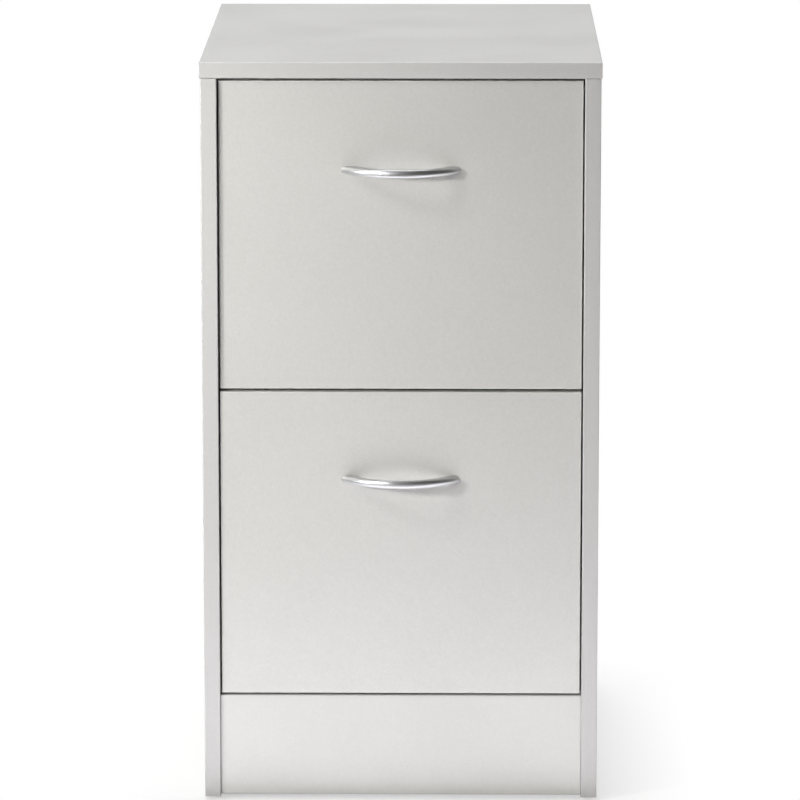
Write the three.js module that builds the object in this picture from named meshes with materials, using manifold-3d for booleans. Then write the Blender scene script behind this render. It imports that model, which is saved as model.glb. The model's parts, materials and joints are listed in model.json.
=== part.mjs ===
// A desk-height filing cabinet with two deep drawers, built from 16 mm melamine-faced chipboard.
// Millimetres. +X is the cabinet's right as one faces it, -Y is its front, +Z is up.
// The origin is on the floor, in the middle of the whole cabinet's footprint, handles included.

import * as THREE from 'three';
import { mergeVertices } from 'three/addons/utils/BufferGeometryUtils.js';
import Module from 'manifold-3d';

const wasm = await Module();
wasm.setup();

// ---------------------------------------------------------------- driving dimensions

const GAP = 0.3; // clearance between pieces that touch or nest

// Carcass
const WIDTH = 400;
const DEPTH = 500;
const HEIGHT = 755;
const BOARD = 16;
const TOP_OVERHANG = 1; // each side of the carcass
const PLINTH_TOP = 109;
const PLINTH_RECESS = 3;
const PLINTH_LIFT = 5; // off the floor
const HARDBOARD = 3;
const BACK_SETBACK = 10; // from the rear edges of the sides to the back panel
const GROOVE_DEPTH = 6;
const GROOVE_PLAY = 0.3; // each face of the hardboard

// Glides under the side panels
const GLIDE_HEIGHT = 3;
const GLIDE_RADIUS = 7.5;
const GLIDE_PIN_RADIUS = 1;
const GLIDE_PIN_LENGTH = 12;
const GLIDE_INSET = 40; // from the front and rear edges

// Cam and bolt joints
const CAM_RADIUS = 7.2;
const CAM_DEPTH = 12.2;
const CAM_SLOT = 1.4;
const CAM_SLOT_DEPTH = 1.6;
const CAM_SEGMENTS = 20;
const BOLT_REACH = 34; // from the joint to the cam's centre
const BOLT_THREAD_LENGTH = 10.8;
const BOLT_THREAD_RADIUS = 2.9;
const BOLT_SHANK_RADIUS = 3;
const BOLT_HEAD_RADIUS = 3.5;
const BOLT_BORE_RADIUS = 4;
const JOINT_INSET = 60; // of the top joints from the front and rear edges

// Dowels that hold the plinth between the side panels
const DOWEL_RADIUS = 4;
const DOWEL_IN_PLINTH = 20;
const DOWEL_IN_SIDE = 10;

// Drawer fronts
const FRONT_SIDE_GAP = 1.7;
const FRONT_TOP_GAP = 3;
const FRONT_MIDDLE_GAP = 3;
const FRONT_BOTTOM_GAP = 2;
const LOWER_RECESS = 3.5;
const UPPER_RECESS = 5;

// Drawer boxes
const BOX_BOARD = 12;
const BOX_LENGTH = 450;
const BOX_SIDE_HEIGHT = 245;
const BOX_LIFT = 27; // lower edge of the box above the lower edge of its front
const BOX_SIDE_SPACE = 12.5; // between the cabinet's side and the box, for the runners
const BOX_BACK_DROP = 12.5; // top of the box back below the tops of the box sides
const BOTTOM_LIFT = 8; // groove for the drawer bottom above the lower edge
const BOTTOM_GROOVE_DEPTH = 5;

// Hanging-file rails
const RAIL_WALL = 1;
const RAIL_WEB = 1.5;
const RAIL_LEG = 12;
const RIB_WIDTH = 2;
const RIB_TOP = 8; // above the box side

// Roller runners
const SHEET = 1.2;
const RUNNER_HEIGHT = 26.2; // running surface to the top of the cabinet member
const RUNNER_LIFT = 2; // running surface above the lower edge of the box
const RUNNER_FLANGE = 10.7; // reach of the running flange from the cabinet's side
const RUNNER_TOP_FLANGE = 9;
const RUNNER_MOUTH = 45; // length of the top flange cut away at the front
const ROLLER_RADIUS = 10.7;
const ROLLER_WIDTH = 7;
const ROLLER_BORE = 2.5;
const ROLLER_INSET = 14; // roller centre from the end of its profile
const AXLE_RADIUS = 2.2;
const RIVET_RADIUS = 3.6;
const SHOULDER_RADIUS = 4;
const STOP_PLAY = 0.5;
const TRAVEL = 340;
const RUNNER_SCREWS = [60, 225, 400]; // from the front end of the cabinet member
const RUNNER_SCREW_RADIUS = 2.2;

// Bow handles
const HANDLE_LENGTH = 119.5;
const HANDLE_CENTRES = 96;
const HANDLE_PROJECTION = 30;
const HANDLE_INNER_CHORD = 86;
const HANDLE_WAIST = 6; // thickness at the middle of the bow
const HANDLE_BAR = 8.4; // height of the bar
const HANDLE_LIFT = 221.5; // handle above the lower edge of its front
const SCREW_RADIUS = 2;
const SCREW_HEAD_RADIUS = 4;
const SCREW_HEAD_HEIGHT = 2.5;
const SCREW_BITE = 7;
const SCREW_BORE = 2.3;

// ---------------------------------------------------------------- derived dimensions

const FRONT_Y = (HANDLE_PROJECTION - LOWER_RECESS - DEPTH) / 2; // front edges of the side panels
const BACK_Y = FRONT_Y + DEPTH;
const OUTER_X = WIDTH / 2 - TOP_OVERHANG;
const INNER_X = OUTER_X - BOARD;
const MID_BOARD_X = OUTER_X - BOARD / 2;
const TOP_UNDERSIDE = HEIGHT - BOARD;
const BACK_FACE_Y = BACK_Y - BACK_SETBACK - HARDBOARD; // front face of the back panel
const FRONT_HEIGHT =
  (TOP_UNDERSIDE - PLINTH_TOP - FRONT_TOP_GAP - FRONT_MIDDLE_GAP - FRONT_BOTTOM_GAP) / 2;
const FRONT_HALF_WIDTH = INNER_X - FRONT_SIDE_GAP;
const LOWER_BASE = PLINTH_TOP + FRONT_BOTTOM_GAP;
const UPPER_BASE = LOWER_BASE + FRONT_HEIGHT + FRONT_MIDDLE_GAP;
const BOX_SIDE_END = BOX_SIDE_SPACE + BOX_BOARD; // inner face of a box side from the cabinet's side
const BOTTOM_PANEL_FRONT_Y = FRONT_Y + UPPER_RECESS + BOARD + 0.5;

// ---------------------------------------------------------------- finishes

function finish(color, roughness, metalness) {
  return new THREE.MeshStandardMaterial({ color, roughness, metalness });
}

const silverMelamine = () => finish(0xc9c8c4, 0.45, 0.25);
const hardboard = () => finish(0xb9b6ae, 0.8, 0);
const whiteEpoxy = () => finish(0xe6e6e2, 0.4, 0.1);
const nylon = () => finish(0xf0eee6, 0.5, 0);
const greyPvc = () => finish(0x9a9c9c, 0.5, 0);
const beech = () => finish(0xc9a878, 0.75, 0);
const brownPlastic = () => finish(0x6b5440, 0.6, 0);
const satinZinc = () => finish(0xb8b9ba, 0.3, 1);
const zincPlate = () => finish(0xa9abad, 0.4, 0.9);

// ---------------------------------------------------------------- making solids

/** A box between two limits on each axis, given in either order. */
function block([x0, x1], [y0, y1], [z0, z1]) {
  const geometry = new THREE.BoxGeometry(Math.abs(x1 - x0), Math.abs(y1 - y0), Math.abs(z1 - z0));
  return geometry.translate((x0 + x1) / 2, (y0 + y1) / 2, (z0 + z1) / 2);
}

/** Turn a shape made around the Y axis so that its axis lies along X, Y or Z. */
function turnTo(axis, geometry) {
  if (axis === 'x') return geometry.rotateZ(-Math.PI / 2);
  if (axis === 'z') return geometry.rotateX(Math.PI / 2);
  return geometry;
}

/** A round rod along one axis, between two limits, through the point given on the other two axes. */
function rod(axis, radius, [from, to], centre, segments = 16) {
  const geometry = new THREE.CylinderGeometry(radius, radius, Math.abs(to - from), segments);
  const middle = (from + to) / 2;
  const place = { x: [middle, ...centre], y: [centre[0], middle, centre[1]], z: [...centre, middle] };
  return turnTo(axis, geometry).translate(...place[axis]);
}

/** A turned piece from [radius, distance along Y] pairs, listed so that its faces point out. */
function turned(profile, segments) {
  const points = profile.map(([radius, along]) => new THREE.Vector2(radius, along));
  return new THREE.LatheGeometry(points, segments);
}

/** An outline of [x, z] pairs carried from one Y to another. */
function extrudeAlongY(outline, [y0, y1]) {
  const shape = new THREE.Shape(outline.map(([x, z]) => new THREE.Vector2(x, z)));
  const geometry = new THREE.ExtrudeGeometry(shape, { depth: y1 - y0, bevelEnabled: false });
  return geometry.rotateX(Math.PI / 2).translate(0, y1, 0);
}

/** A closed geometry as a manifold solid, its shared vertices merged and empty triangles dropped. */
function solid(geometry) {
  const bare = geometry.clone();
  bare.deleteAttribute('normal');
  bare.deleteAttribute('uv');
  const merged = mergeVertices(bare, 1e-4);
  const triangles = [];
  for (let i = 0; i < merged.index.count; i += 3) {
    const [a, b, c] = [0, 1, 2].map((k) => merged.index.getX(i + k));
    if (a !== b && b !== c && c !== a) triangles.push(a, b, c);
  }
  return new wasm.Manifold(new wasm.Mesh({
    numProp: 3,
    vertProperties: new Float32Array(merged.attributes.position.array),
    triVerts: new Uint32Array(triangles),
  }));
}

/** One geometry from a base, with others joined to it and then others cut from it. */
function carve(base, { add = [], cut = [] }) {
  let result = solid(base);
  for (const geometry of add) result = result.add(solid(geometry));
  for (const geometry of cut) result = result.subtract(solid(geometry));
  const { vertProperties, triVerts } = result.getMesh();
  const geometry = new THREE.BufferGeometry();
  geometry.setAttribute('position', new THREE.BufferAttribute(new Float32Array(vertProperties), 3));
  geometry.setIndex(new THREE.BufferAttribute(new Uint32Array(triVerts), 1));
  geometry.computeVertexNormals();
  return geometry;
}

const cabinet = new THREE.Group();

/** Add a named piece to the cabinet. */
function piece(name, geometry, material) {
  const mesh = new THREE.Mesh(geometry, material);
  mesh.name = name;
  cabinet.add(mesh);
  return mesh;
}

/** Put a piece at a point, with its own X and Z axes along the given directions. */
function place(mesh, position, xAxis, zAxis) {
  const x = new THREE.Vector3(...xAxis);
  const z = new THREE.Vector3(...zAxis);
  const y = new THREE.Vector3().crossVectors(z, x);
  mesh.position.set(...position);
  mesh.quaternion.setFromRotationMatrix(new THREE.Matrix4().makeBasis(x, y, z));
}

const SIDES = [{ side: 'left', sign: -1 }, { side: 'right', sign: 1 }];
const ENDS = [
  { end: 'front', jointY: FRONT_Y + JOINT_INSET, glideY: FRONT_Y + GLIDE_INSET },
  { end: 'rear', jointY: BACK_Y - JOINT_INSET, glideY: BACK_Y - GLIDE_INSET },
];

/** X of a point that lies a distance in from a cabinet side's inner face. */
const inFrom = (sign, distance) => sign * (INNER_X - distance);

// ---------------------------------------------------------------- carcass

const CAM_Z = TOP_UNDERSIDE - BOLT_REACH;
const CAM_BORE = CAM_RADIUS + GAP;
const CAM_BORE_DEPTH = CAM_DEPTH + GAP + 0.1;
const THREAD_BORE = BOLT_THREAD_RADIUS + GAP;
const THREAD_BORE_DEPTH = BOLT_THREAD_LENGTH + GAP;
const BOTTOM_JOINT_Y = (BOTTOM_PANEL_FRONT_Y + BACK_FACE_Y) / 2;
const BOTTOM_JOINT_Z = PLINTH_TOP + BOARD / 2;
const GROOVE_Y = [BACK_FACE_Y - GROOVE_PLAY, BACK_FACE_Y + HARDBOARD + GROOVE_PLAY];
const PLINTH_CENTRE = [FRONT_Y + PLINTH_RECESS + BOARD / 2, (PLINTH_LIFT + PLINTH_TOP) / 2]; // Y, Z
const DOWEL_BORE = DOWEL_RADIUS + GAP;
const CUT = 1; // how far a cutter runs past the face it opens

function topPanel() {
  const board = block([-WIDTH / 2, WIDTH / 2], [FRONT_Y, BACK_Y], [TOP_UNDERSIDE, HEIGHT]);
  const grooveX = INNER_X + GROOVE_DEPTH;
  const cut = [block([-grooveX, grooveX], GROOVE_Y, [TOP_UNDERSIDE - CUT, TOP_UNDERSIDE + GROOVE_DEPTH])];
  for (const { sign } of SIDES) {
    for (const { jointY } of ENDS) {
      const depth = [TOP_UNDERSIDE - CUT, TOP_UNDERSIDE + THREAD_BORE_DEPTH];
      cut.push(rod('z', THREAD_BORE, depth, [sign * MID_BOARD_X, jointY]));
    }
  }
  piece('top_panel', carve(board, { cut }), silverMelamine());
}

function sidePanel({ side, sign }) {
  const inner = sign * INNER_X;
  const top = TOP_UNDERSIDE - GAP;
  const board = block([inner, sign * OUTER_X], [FRONT_Y, BACK_Y], [GLIDE_HEIGHT, top]);
  const cut = [
    block([inner - sign * CUT, inner + sign * GROOVE_DEPTH], GROOVE_Y, [GLIDE_HEIGHT - CUT, top + CUT]),
    rod('x', THREAD_BORE, [inner - sign * CUT, inner + sign * THREAD_BORE_DEPTH],
      [BOTTOM_JOINT_Y, BOTTOM_JOINT_Z]),
    rod('x', DOWEL_BORE, [inner - sign * CUT, inner + sign * (DOWEL_IN_SIDE + GAP)], PLINTH_CENTRE),
  ];
  for (const { jointY, glideY } of ENDS) {
    const middle = sign * MID_BOARD_X;
    const pinHole = [GLIDE_HEIGHT - CUT, GLIDE_HEIGHT + GLIDE_PIN_LENGTH + GAP];
    cut.push(rod('x', CAM_BORE, [inner - sign * CUT, inner + sign * CAM_BORE_DEPTH],
      [jointY, CAM_Z], CAM_SEGMENTS));
    cut.push(rod('z', BOLT_BORE_RADIUS, [CAM_Z, top + CUT], [middle, jointY]));
    cut.push(rod('z', GLIDE_PIN_RADIUS + GAP, pinHole, [middle, glideY], 12));
  }
  piece(`${side}_side_panel`, carve(board, { cut }), silverMelamine());
}

function bottomPanel() {
  const edge = INNER_X - GAP;
  const board = block([-edge, edge], [BOTTOM_PANEL_FRONT_Y, BACK_FACE_Y - GAP],
    [PLINTH_TOP, PLINTH_TOP + BOARD]);
  const cut = [];
  for (const { sign } of SIDES) {
    const camX = inFrom(sign, BOLT_REACH);
    cut.push(rod('z', CAM_BORE, [PLINTH_TOP - CUT, PLINTH_TOP + CAM_BORE_DEPTH],
      [camX, BOTTOM_JOINT_Y], CAM_SEGMENTS));
    cut.push(rod('x', BOLT_BORE_RADIUS, [camX, sign * (INNER_X + CUT)], [BOTTOM_JOINT_Y, BOTTOM_JOINT_Z]));
  }
  piece('bottom_panel', carve(board, { cut }), silverMelamine());
}

function plinthPanel() {
  const edge = INNER_X - GAP;
  const front = FRONT_Y + PLINTH_RECESS;
  const board = block([-edge, edge], [front, front + BOARD], [PLINTH_LIFT, PLINTH_TOP]);
  const cut = SIDES.map(({ sign }) => rod('x', DOWEL_BORE,
    [inFrom(sign, DOWEL_IN_PLINTH + GAP), inFrom(sign, -CUT)], PLINTH_CENTRE));
  piece('plinth_panel', carve(board, { cut }), silverMelamine());
}

/** A grooved beech dowel, half in the plinth's end and half in the side panel. */
function plinthDowel({ side, sign }) {
  const chamfer = 0.8;
  const length = DOWEL_IN_PLINTH + DOWEL_IN_SIDE;
  const profile = [[0, 0], [DOWEL_RADIUS - chamfer, 0], [DOWEL_RADIUS, chamfer],
    [DOWEL_RADIUS, length - chamfer], [DOWEL_RADIUS - chamfer, length], [0, length]];
  const mesh = piece(`plinth_dowel_${side}`, turned(profile, 16), beech());
  mesh.rotation.z = (-sign * Math.PI) / 2;
  mesh.position.set(inFrom(sign, DOWEL_IN_PLINTH), ...PLINTH_CENTRE);
}

function backPanel() {
  const edge = INNER_X + GROOVE_DEPTH - GAP;
  piece('back_panel', block([-edge, edge], [BACK_FACE_Y, BACK_FACE_Y + HARDBOARD],
    [PLINTH_TOP, TOP_UNDERSIDE + GROOVE_DEPTH - GAP]), hardboard());
}

/** A plastic glide with its pin, standing on the floor under a side panel. */
function glide({ side, sign }, { end, glideY }) {
  const top = GLIDE_HEIGHT - GAP;
  const tip = GLIDE_HEIGHT + GLIDE_PIN_LENGTH;
  const profile = [[0, 0], [GLIDE_RADIUS - 0.8, 0], [GLIDE_RADIUS, 0.8], [GLIDE_RADIUS, top],
    [GLIDE_PIN_RADIUS, top], [GLIDE_PIN_RADIUS, tip - 1], [0, tip]];
  const mesh = piece(`glide_${end}_${side}`, turned(profile, 16).rotateX(Math.PI / 2), brownPlastic());
  mesh.position.set(sign * MID_BOARD_X, glideY, 0);
}

// ---------------------------------------------------------------- cam and bolt joints

/** A cam housing: its slotted face at z = 0, its body along +Z, its bolt coming in from +X. */
function camGeometry() {
  const channel = BOLT_HEAD_RADIUS + 0.7;
  const reach = CAM_RADIUS + CUT;
  const arm = CAM_RADIUS * 0.7;
  const slotDepth = [-CUT, CAM_SLOT_DEPTH];
  return carve(rod('z', CAM_RADIUS, [0, CAM_DEPTH], [0, 0], CAM_SEGMENTS), {
    cut: [
      block([-channel, reach], [-channel, channel], [BOARD / 2 - channel, CAM_DEPTH + CUT]),
      block([-arm, arm], [-CAM_SLOT / 2, CAM_SLOT / 2], slotDepth),
      block([-CAM_SLOT / 2, CAM_SLOT / 2], [-arm, arm], slotDepth),
    ],
  });
}

/** A connecting bolt along Z: thread above the joint plane z = 0, shank and head below it. */
function boltGeometry() {
  const neck = BOLT_HEAD_RADIUS * 0.6;
  const profile = [
    [0, -BOLT_REACH - 3], [BOLT_HEAD_RADIUS * 0.8, -BOLT_REACH - 2.6],
    [BOLT_HEAD_RADIUS, -BOLT_REACH], [BOLT_HEAD_RADIUS * 0.8, -BOLT_REACH + 2.6],
    [neck, -BOLT_REACH + 3], [neck, -BOLT_REACH + 6],
    [BOLT_SHANK_RADIUS, -BOLT_REACH + 7], [BOLT_SHANK_RADIUS, -3],
    [BOLT_HEAD_RADIUS, -2.6], [BOLT_HEAD_RADIUS, -GAP], [BOLT_THREAD_RADIUS, -GAP],
    [BOLT_THREAD_RADIUS, BOLT_THREAD_LENGTH - 1], [0, BOLT_THREAD_LENGTH],
  ];
  return turned(profile, 12).rotateX(Math.PI / 2);
}

function topJoint({ side, sign }, { end, jointY }) {
  const cam = piece(`cam_top_${end}_${side}`, camGeometry(), zincPlate());
  place(cam, [sign * (INNER_X + GAP / 2), jointY, CAM_Z], [0, 0, 1], [sign, 0, 0]);
  const bolt = piece(`bolt_top_${end}_${side}`, boltGeometry(), zincPlate());
  place(bolt, [sign * MID_BOARD_X, jointY, TOP_UNDERSIDE], [1, 0, 0], [0, 0, 1]);
}

function bottomJoint({ side, sign }) {
  const cam = piece(`cam_bottom_${side}`, camGeometry(), zincPlate());
  place(cam, [inFrom(sign, BOLT_REACH), BOTTOM_JOINT_Y, PLINTH_TOP + GAP / 2], [sign, 0, 0], [0, 0, 1]);
  const bolt = piece(`bolt_bottom_${side}`, boltGeometry(), zincPlate());
  place(bolt, [sign * INNER_X, BOTTOM_JOINT_Y, BOTTOM_JOINT_Z], [0, 1, 0], [sign, 0, 0]);
}

// ---------------------------------------------------------------- roller runners

/** Where a drawer's runners lie: heights and the Y of each end and roller. */
function runnerPlan(drawer) {
  const frontBackY = FRONT_Y + drawer.recess + BOARD;
  const runZ = drawer.base + BOX_LIFT + RUNNER_LIFT;
  const boxFrontY = frontBackY + GAP;
  const boxRearY = boxFrontY + BOX_LENGTH;
  const rearRollerY = boxRearY - ROLLER_INSET;
  const memberFrontY = frontBackY + 2;
  const memberRearY = rearRollerY + ROLLER_RADIUS + STOP_PLAY + SHEET;
  return {
    frontBackY, runZ, boxFrontY, boxRearY, rearRollerY, memberFrontY, memberRearY,
    frontRollerY: memberFrontY + ROLLER_INSET,
    rollerZ: runZ + ROLLER_RADIUS + GAP,
    boxZ: drawer.base + BOX_LIFT,
  };
}

/** The lane between the two webs that the rollers run in, as distances from the cabinet's side. */
const CABINET_WEB = [GAP, GAP + SHEET];
const DRAWER_WEB = [BOX_SIDE_SPACE - GAP - SHEET, BOX_SIDE_SPACE - GAP];
const FRONT_ROLLER_LANE = [CABINET_WEB[1] + 0.7, CABINET_WEB[1] + 0.7 + ROLLER_WIDTH];
const REAR_ROLLER_LANE = [DRAWER_WEB[0] - 1.4 - ROLLER_WIDTH, DRAWER_WEB[0] - 1.4];

/** The fixed C-shaped member, screwed to the cabinet's side, with its axle, rear stop and travel stop. */
function cabinetRunner(drawer, plan, { side, sign }) {
  const x = (distance) => inFrom(sign, distance);
  const { runZ, memberFrontY, memberRearY, frontRollerY, rollerZ, rearRollerY } = plan;
  const top = runZ + RUNNER_HEIGHT;
  const outline = [
    [x(CABINET_WEB[0]), runZ - SHEET], [x(RUNNER_FLANGE), runZ - SHEET], [x(RUNNER_FLANGE), runZ],
    [x(CABINET_WEB[1]), runZ], [x(CABINET_WEB[1]), top - SHEET], [x(RUNNER_TOP_FLANGE), top - SHEET],
    [x(RUNNER_TOP_FLANGE), top], [x(CABINET_WEB[0]), top],
  ];
  const travelStopY = rearRollerY - TRAVEL - ROLLER_RADIUS - STOP_PLAY;
  const add = [
    rod('x', AXLE_RADIUS, [x(CABINET_WEB[1] - 0.5), x(FRONT_ROLLER_LANE[1] + 1)], [frontRollerY, rollerZ]),
    rod('x', SHOULDER_RADIUS, [x(CABINET_WEB[1] - 0.5), x(FRONT_ROLLER_LANE[0] - GAP)],
      [frontRollerY, rollerZ]),
    rod('x', RIVET_RADIUS, [x(FRONT_ROLLER_LANE[1] + GAP), x(FRONT_ROLLER_LANE[1] + 1.2)],
      [frontRollerY, rollerZ]),
    block([x(CABINET_WEB[0] + 0.5), x(RUNNER_TOP_FLANGE)], [memberRearY - SHEET, memberRearY],
      [runZ - 0.5, runZ + ROLLER_RADIUS + SHEET]),
    block([x(CABINET_WEB[1] - 0.5), x(REAR_ROLLER_LANE[0] + 0.8)], [travelStopY - 3, travelStopY],
      [rollerZ - 4, rollerZ + 4]),
  ];
  const cut = [block([x(CABINET_WEB[1]), x(RUNNER_TOP_FLANGE + CUT)],
    [memberFrontY - CUT, memberFrontY + RUNNER_MOUTH], [top - SHEET - CUT, top + CUT])];
  for (const distance of RUNNER_SCREWS) {
    cut.push(rod('x', RUNNER_SCREW_RADIUS, [x(-CUT), x(CABINET_WEB[1] + CUT)],
      [memberFrontY + distance, rollerZ], 12));
  }
  piece(`${drawer.name}_cabinet_runner_${side}`,
    carve(extrudeAlongY(outline, [memberFrontY, memberRearY]), { add, cut }), whiteEpoxy());
}

/** The moving member: a lip under the box side, a web, and a flange that rides on the front roller. */
function drawerRunner(drawer, plan, { side, sign }) {
  const x = (distance) => inFrom(sign, distance);
  const { runZ, boxZ, boxFrontY, boxRearY, rearRollerY, rollerZ } = plan;
  const flangeZ = rollerZ + ROLLER_RADIUS + GAP;
  const lipZ = boxZ - GAP - SHEET;
  const outline = [
    [x(DRAWER_WEB[0]), lipZ], [x(BOX_SIDE_END), lipZ], [x(BOX_SIDE_END), lipZ + SHEET],
    [x(DRAWER_WEB[1]), lipZ + SHEET], [x(DRAWER_WEB[1]), flangeZ + SHEET], [x(3), flangeZ + SHEET],
    [x(3), flangeZ], [x(DRAWER_WEB[0]), flangeZ],
  ];
  const add = [
    rod('x', AXLE_RADIUS, [x(DRAWER_WEB[0] + 0.5), x(REAR_ROLLER_LANE[0] - 0.5)], [rearRollerY, rollerZ]),
    rod('x', SHOULDER_RADIUS, [x(DRAWER_WEB[0] + 0.5), x(REAR_ROLLER_LANE[1] + GAP)],
      [rearRollerY, rollerZ]),
    rod('x', RIVET_RADIUS, [x(REAR_ROLLER_LANE[0] - GAP), x(CABINET_WEB[1] + GAP)], [rearRollerY, rollerZ]),
  ];
  piece(`${drawer.name}_drawer_runner_${side}`,
    carve(extrudeAlongY(outline, [boxFrontY, boxRearY]), { add }), whiteEpoxy());
}

/** A nylon roller around the X axis, its recessed face outward from the axis origin. */
function rollerGeometry() {
  const profile = [
    [ROLLER_BORE, 0], [4.6, 0], [4.6, 1.2], [8.6, 1.2], [8.6, 0], [10, 0], [ROLLER_RADIUS, 0.7],
    [ROLLER_RADIUS, ROLLER_WIDTH - 0.7], [10, ROLLER_WIDTH], [ROLLER_BORE, ROLLER_WIDTH],
    [ROLLER_BORE, 0],
  ];
  return turned(profile, 24).translate(0, -ROLLER_WIDTH / 2, 0);
}

function roller(name, sign, lane, y, z) {
  const mesh = piece(name, rollerGeometry(), nylon());
  mesh.rotation.z = (sign * Math.PI) / 2;
  mesh.position.set(inFrom(sign, (lane[0] + lane[1]) / 2), y, z);
}

// ---------------------------------------------------------------- drawers

function drawerFront(drawer, plan) {
  const face = FRONT_Y + drawer.recess;
  const board = block([-FRONT_HALF_WIDTH, FRONT_HALF_WIDTH], [face, plan.frontBackY],
    [drawer.base, drawer.base + FRONT_HEIGHT]);
  const grooveX = inFrom(1, BOX_SIDE_END - BOTTOM_GROOVE_DEPTH);
  const grooveZ = plan.boxZ + BOTTOM_LIFT;
  const cut = [block([-grooveX, grooveX], [plan.frontBackY - BOTTOM_GROOVE_DEPTH, plan.frontBackY + CUT],
    [grooveZ, grooveZ + HARDBOARD + 2 * GROOVE_PLAY])];
  for (const { sign } of SIDES) {
    cut.push(rod('y', SCREW_RADIUS + 0.5, [face - CUT, plan.frontBackY + CUT],
      [(sign * HANDLE_CENTRES) / 2, drawer.base + HANDLE_LIFT]));
  }
  piece(`${drawer.name}_drawer_front`, carve(board, { cut }), silverMelamine());
}

function boxSide(drawer, plan, { side, sign }) {
  const inner = inFrom(sign, BOX_SIDE_END);
  const board = block([inFrom(sign, BOX_SIDE_SPACE), inner], [plan.boxFrontY, plan.boxRearY],
    [plan.boxZ, plan.boxZ + BOX_SIDE_HEIGHT]);
  const grooveZ = plan.boxZ + BOTTOM_LIFT;
  const groove = block([inner - sign * CUT, inner + sign * BOTTOM_GROOVE_DEPTH],
    [plan.boxFrontY - CUT, plan.boxRearY + CUT], [grooveZ, grooveZ + HARDBOARD + 2 * GROOVE_PLAY]);
  piece(`${drawer.name}_box_side_${side}`, carve(board, { cut: [groove] }), silverMelamine());
}

function boxBack(drawer, plan) {
  const edge = inFrom(1, BOX_SIDE_END + GAP);
  const underside = plan.boxZ + BOTTOM_LIFT + HARDBOARD + 2 * GROOVE_PLAY;
  piece(`${drawer.name}_box_back`, block([-edge, edge], [plan.boxRearY - BOX_BOARD, plan.boxRearY],
    [underside, plan.boxZ + BOX_SIDE_HEIGHT - BOX_BACK_DROP]), silverMelamine());
}

function boxBottom(drawer, plan) {
  const edge = inFrom(1, BOX_SIDE_END - BOTTOM_GROOVE_DEPTH + GAP);
  const underside = plan.boxZ + BOTTOM_LIFT + GROOVE_PLAY;
  piece(`${drawer.name}_box_bottom`, block([-edge, edge],
    [plan.frontBackY - BOTTOM_GROOVE_DEPTH + GAP, plan.boxRearY], [underside, underside + HARDBOARD]),
  hardboard());
}

/** The profile that clips over a box side's top edge; suspension files hang on its rib. */
function fileRail(drawer, plan, { side, sign }) {
  const x = (distance) => inFrom(sign, distance);
  const top = plan.boxZ + BOX_SIDE_HEIGHT;
  const inside = [BOX_SIDE_SPACE - GAP, BOX_SIDE_END + GAP];
  const outside = [inside[0] - RAIL_WALL, inside[1] + RAIL_WALL];
  const middle = (inside[0] + inside[1]) / 2;
  const rib = [middle - RIB_WIDTH / 2, middle + RIB_WIDTH / 2];
  const web = [top + GAP, top + GAP + RAIL_WEB];
  const outline = [
    [x(outside[0]), top - RAIL_LEG], [x(inside[0]), top - RAIL_LEG], [x(inside[0]), web[0]],
    [x(inside[1]), web[0]], [x(inside[1]), top - RAIL_LEG], [x(outside[1]), top - RAIL_LEG],
    [x(outside[1]), web[1]], [x(rib[1]), web[1]], [x(rib[1]), top + RIB_TOP],
    [x(rib[0]), top + RIB_TOP], [x(rib[0]), web[1]], [x(outside[0]), web[1]],
  ];
  piece(`${drawer.name}_file_rail_${side}`,
    extrudeAlongY(outline, [plan.boxFrontY + GAP, plan.boxRearY]), greyPvc());
}

/** Radius of the circle through the ends of a chord and the top of its rise. */
function arcRadius(chord, rise) {
  return (chord * chord) / (8 * rise) + rise / 2;
}

/** The bow between two arcs that stand on the face of the front, with a screw bore in each foot. */
function bowHandle(drawer) {
  const rise = HANDLE_PROJECTION - GAP;
  const arcs = [[HANDLE_LENGTH, rise], [HANDLE_INNER_CHORD, rise - HANDLE_WAIST]].map(([chord, top]) => {
    const radius = arcRadius(chord, top);
    return { radius, centre: top - radius, half: Math.asin(chord / 2 / radius) };
  });
  const shape = new THREE.Shape();
  const [outer, inner] = arcs;
  const upright = Math.PI / 2;
  shape.absarc(0, outer.centre, outer.radius, upright - outer.half, upright + outer.half, false);
  shape.absarc(0, inner.centre, inner.radius, upright + inner.half, upright - inner.half, true);
  const bow = new THREE.ExtrudeGeometry(shape, {
    depth: HANDLE_BAR, bevelEnabled: false, curveSegments: 20,
  }).translate(0, 0, -HANDLE_BAR / 2);
  const cut = SIDES.map(({ sign }) => rod('y', SCREW_BORE, [-CUT, SCREW_BITE + CUT],
    [(sign * HANDLE_CENTRES) / 2, 0], 12));
  const mesh = piece(`${drawer.name}_handle`, carve(bow, { cut }), satinZinc());
  const face = FRONT_Y + drawer.recess - GAP;
  mesh.rotation.x = Math.PI;
  mesh.position.set(0, face, drawer.base + HANDLE_LIFT);
}

/** A pan-head screw from inside the drawer, through its front, into a foot of the handle. */
function handleScrew(drawer, plan, { side, sign }) {
  const length = BOARD + 2 * GAP + SCREW_BITE;
  const profile = [
    [0, -length], [SCREW_RADIUS, -length + 0.6], [SCREW_RADIUS, 0], [SCREW_HEAD_RADIUS, 0],
    [SCREW_HEAD_RADIUS, SCREW_HEAD_HEIGHT * 0.6], [SCREW_HEAD_RADIUS * 0.7, SCREW_HEAD_HEIGHT],
    [0, SCREW_HEAD_HEIGHT],
  ];
  const mesh = piece(`${drawer.name}_handle_screw_${side}`, turned(profile, 12), zincPlate());
  mesh.position.set((sign * HANDLE_CENTRES) / 2, plan.frontBackY + GAP, drawer.base + HANDLE_LIFT);
}

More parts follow.
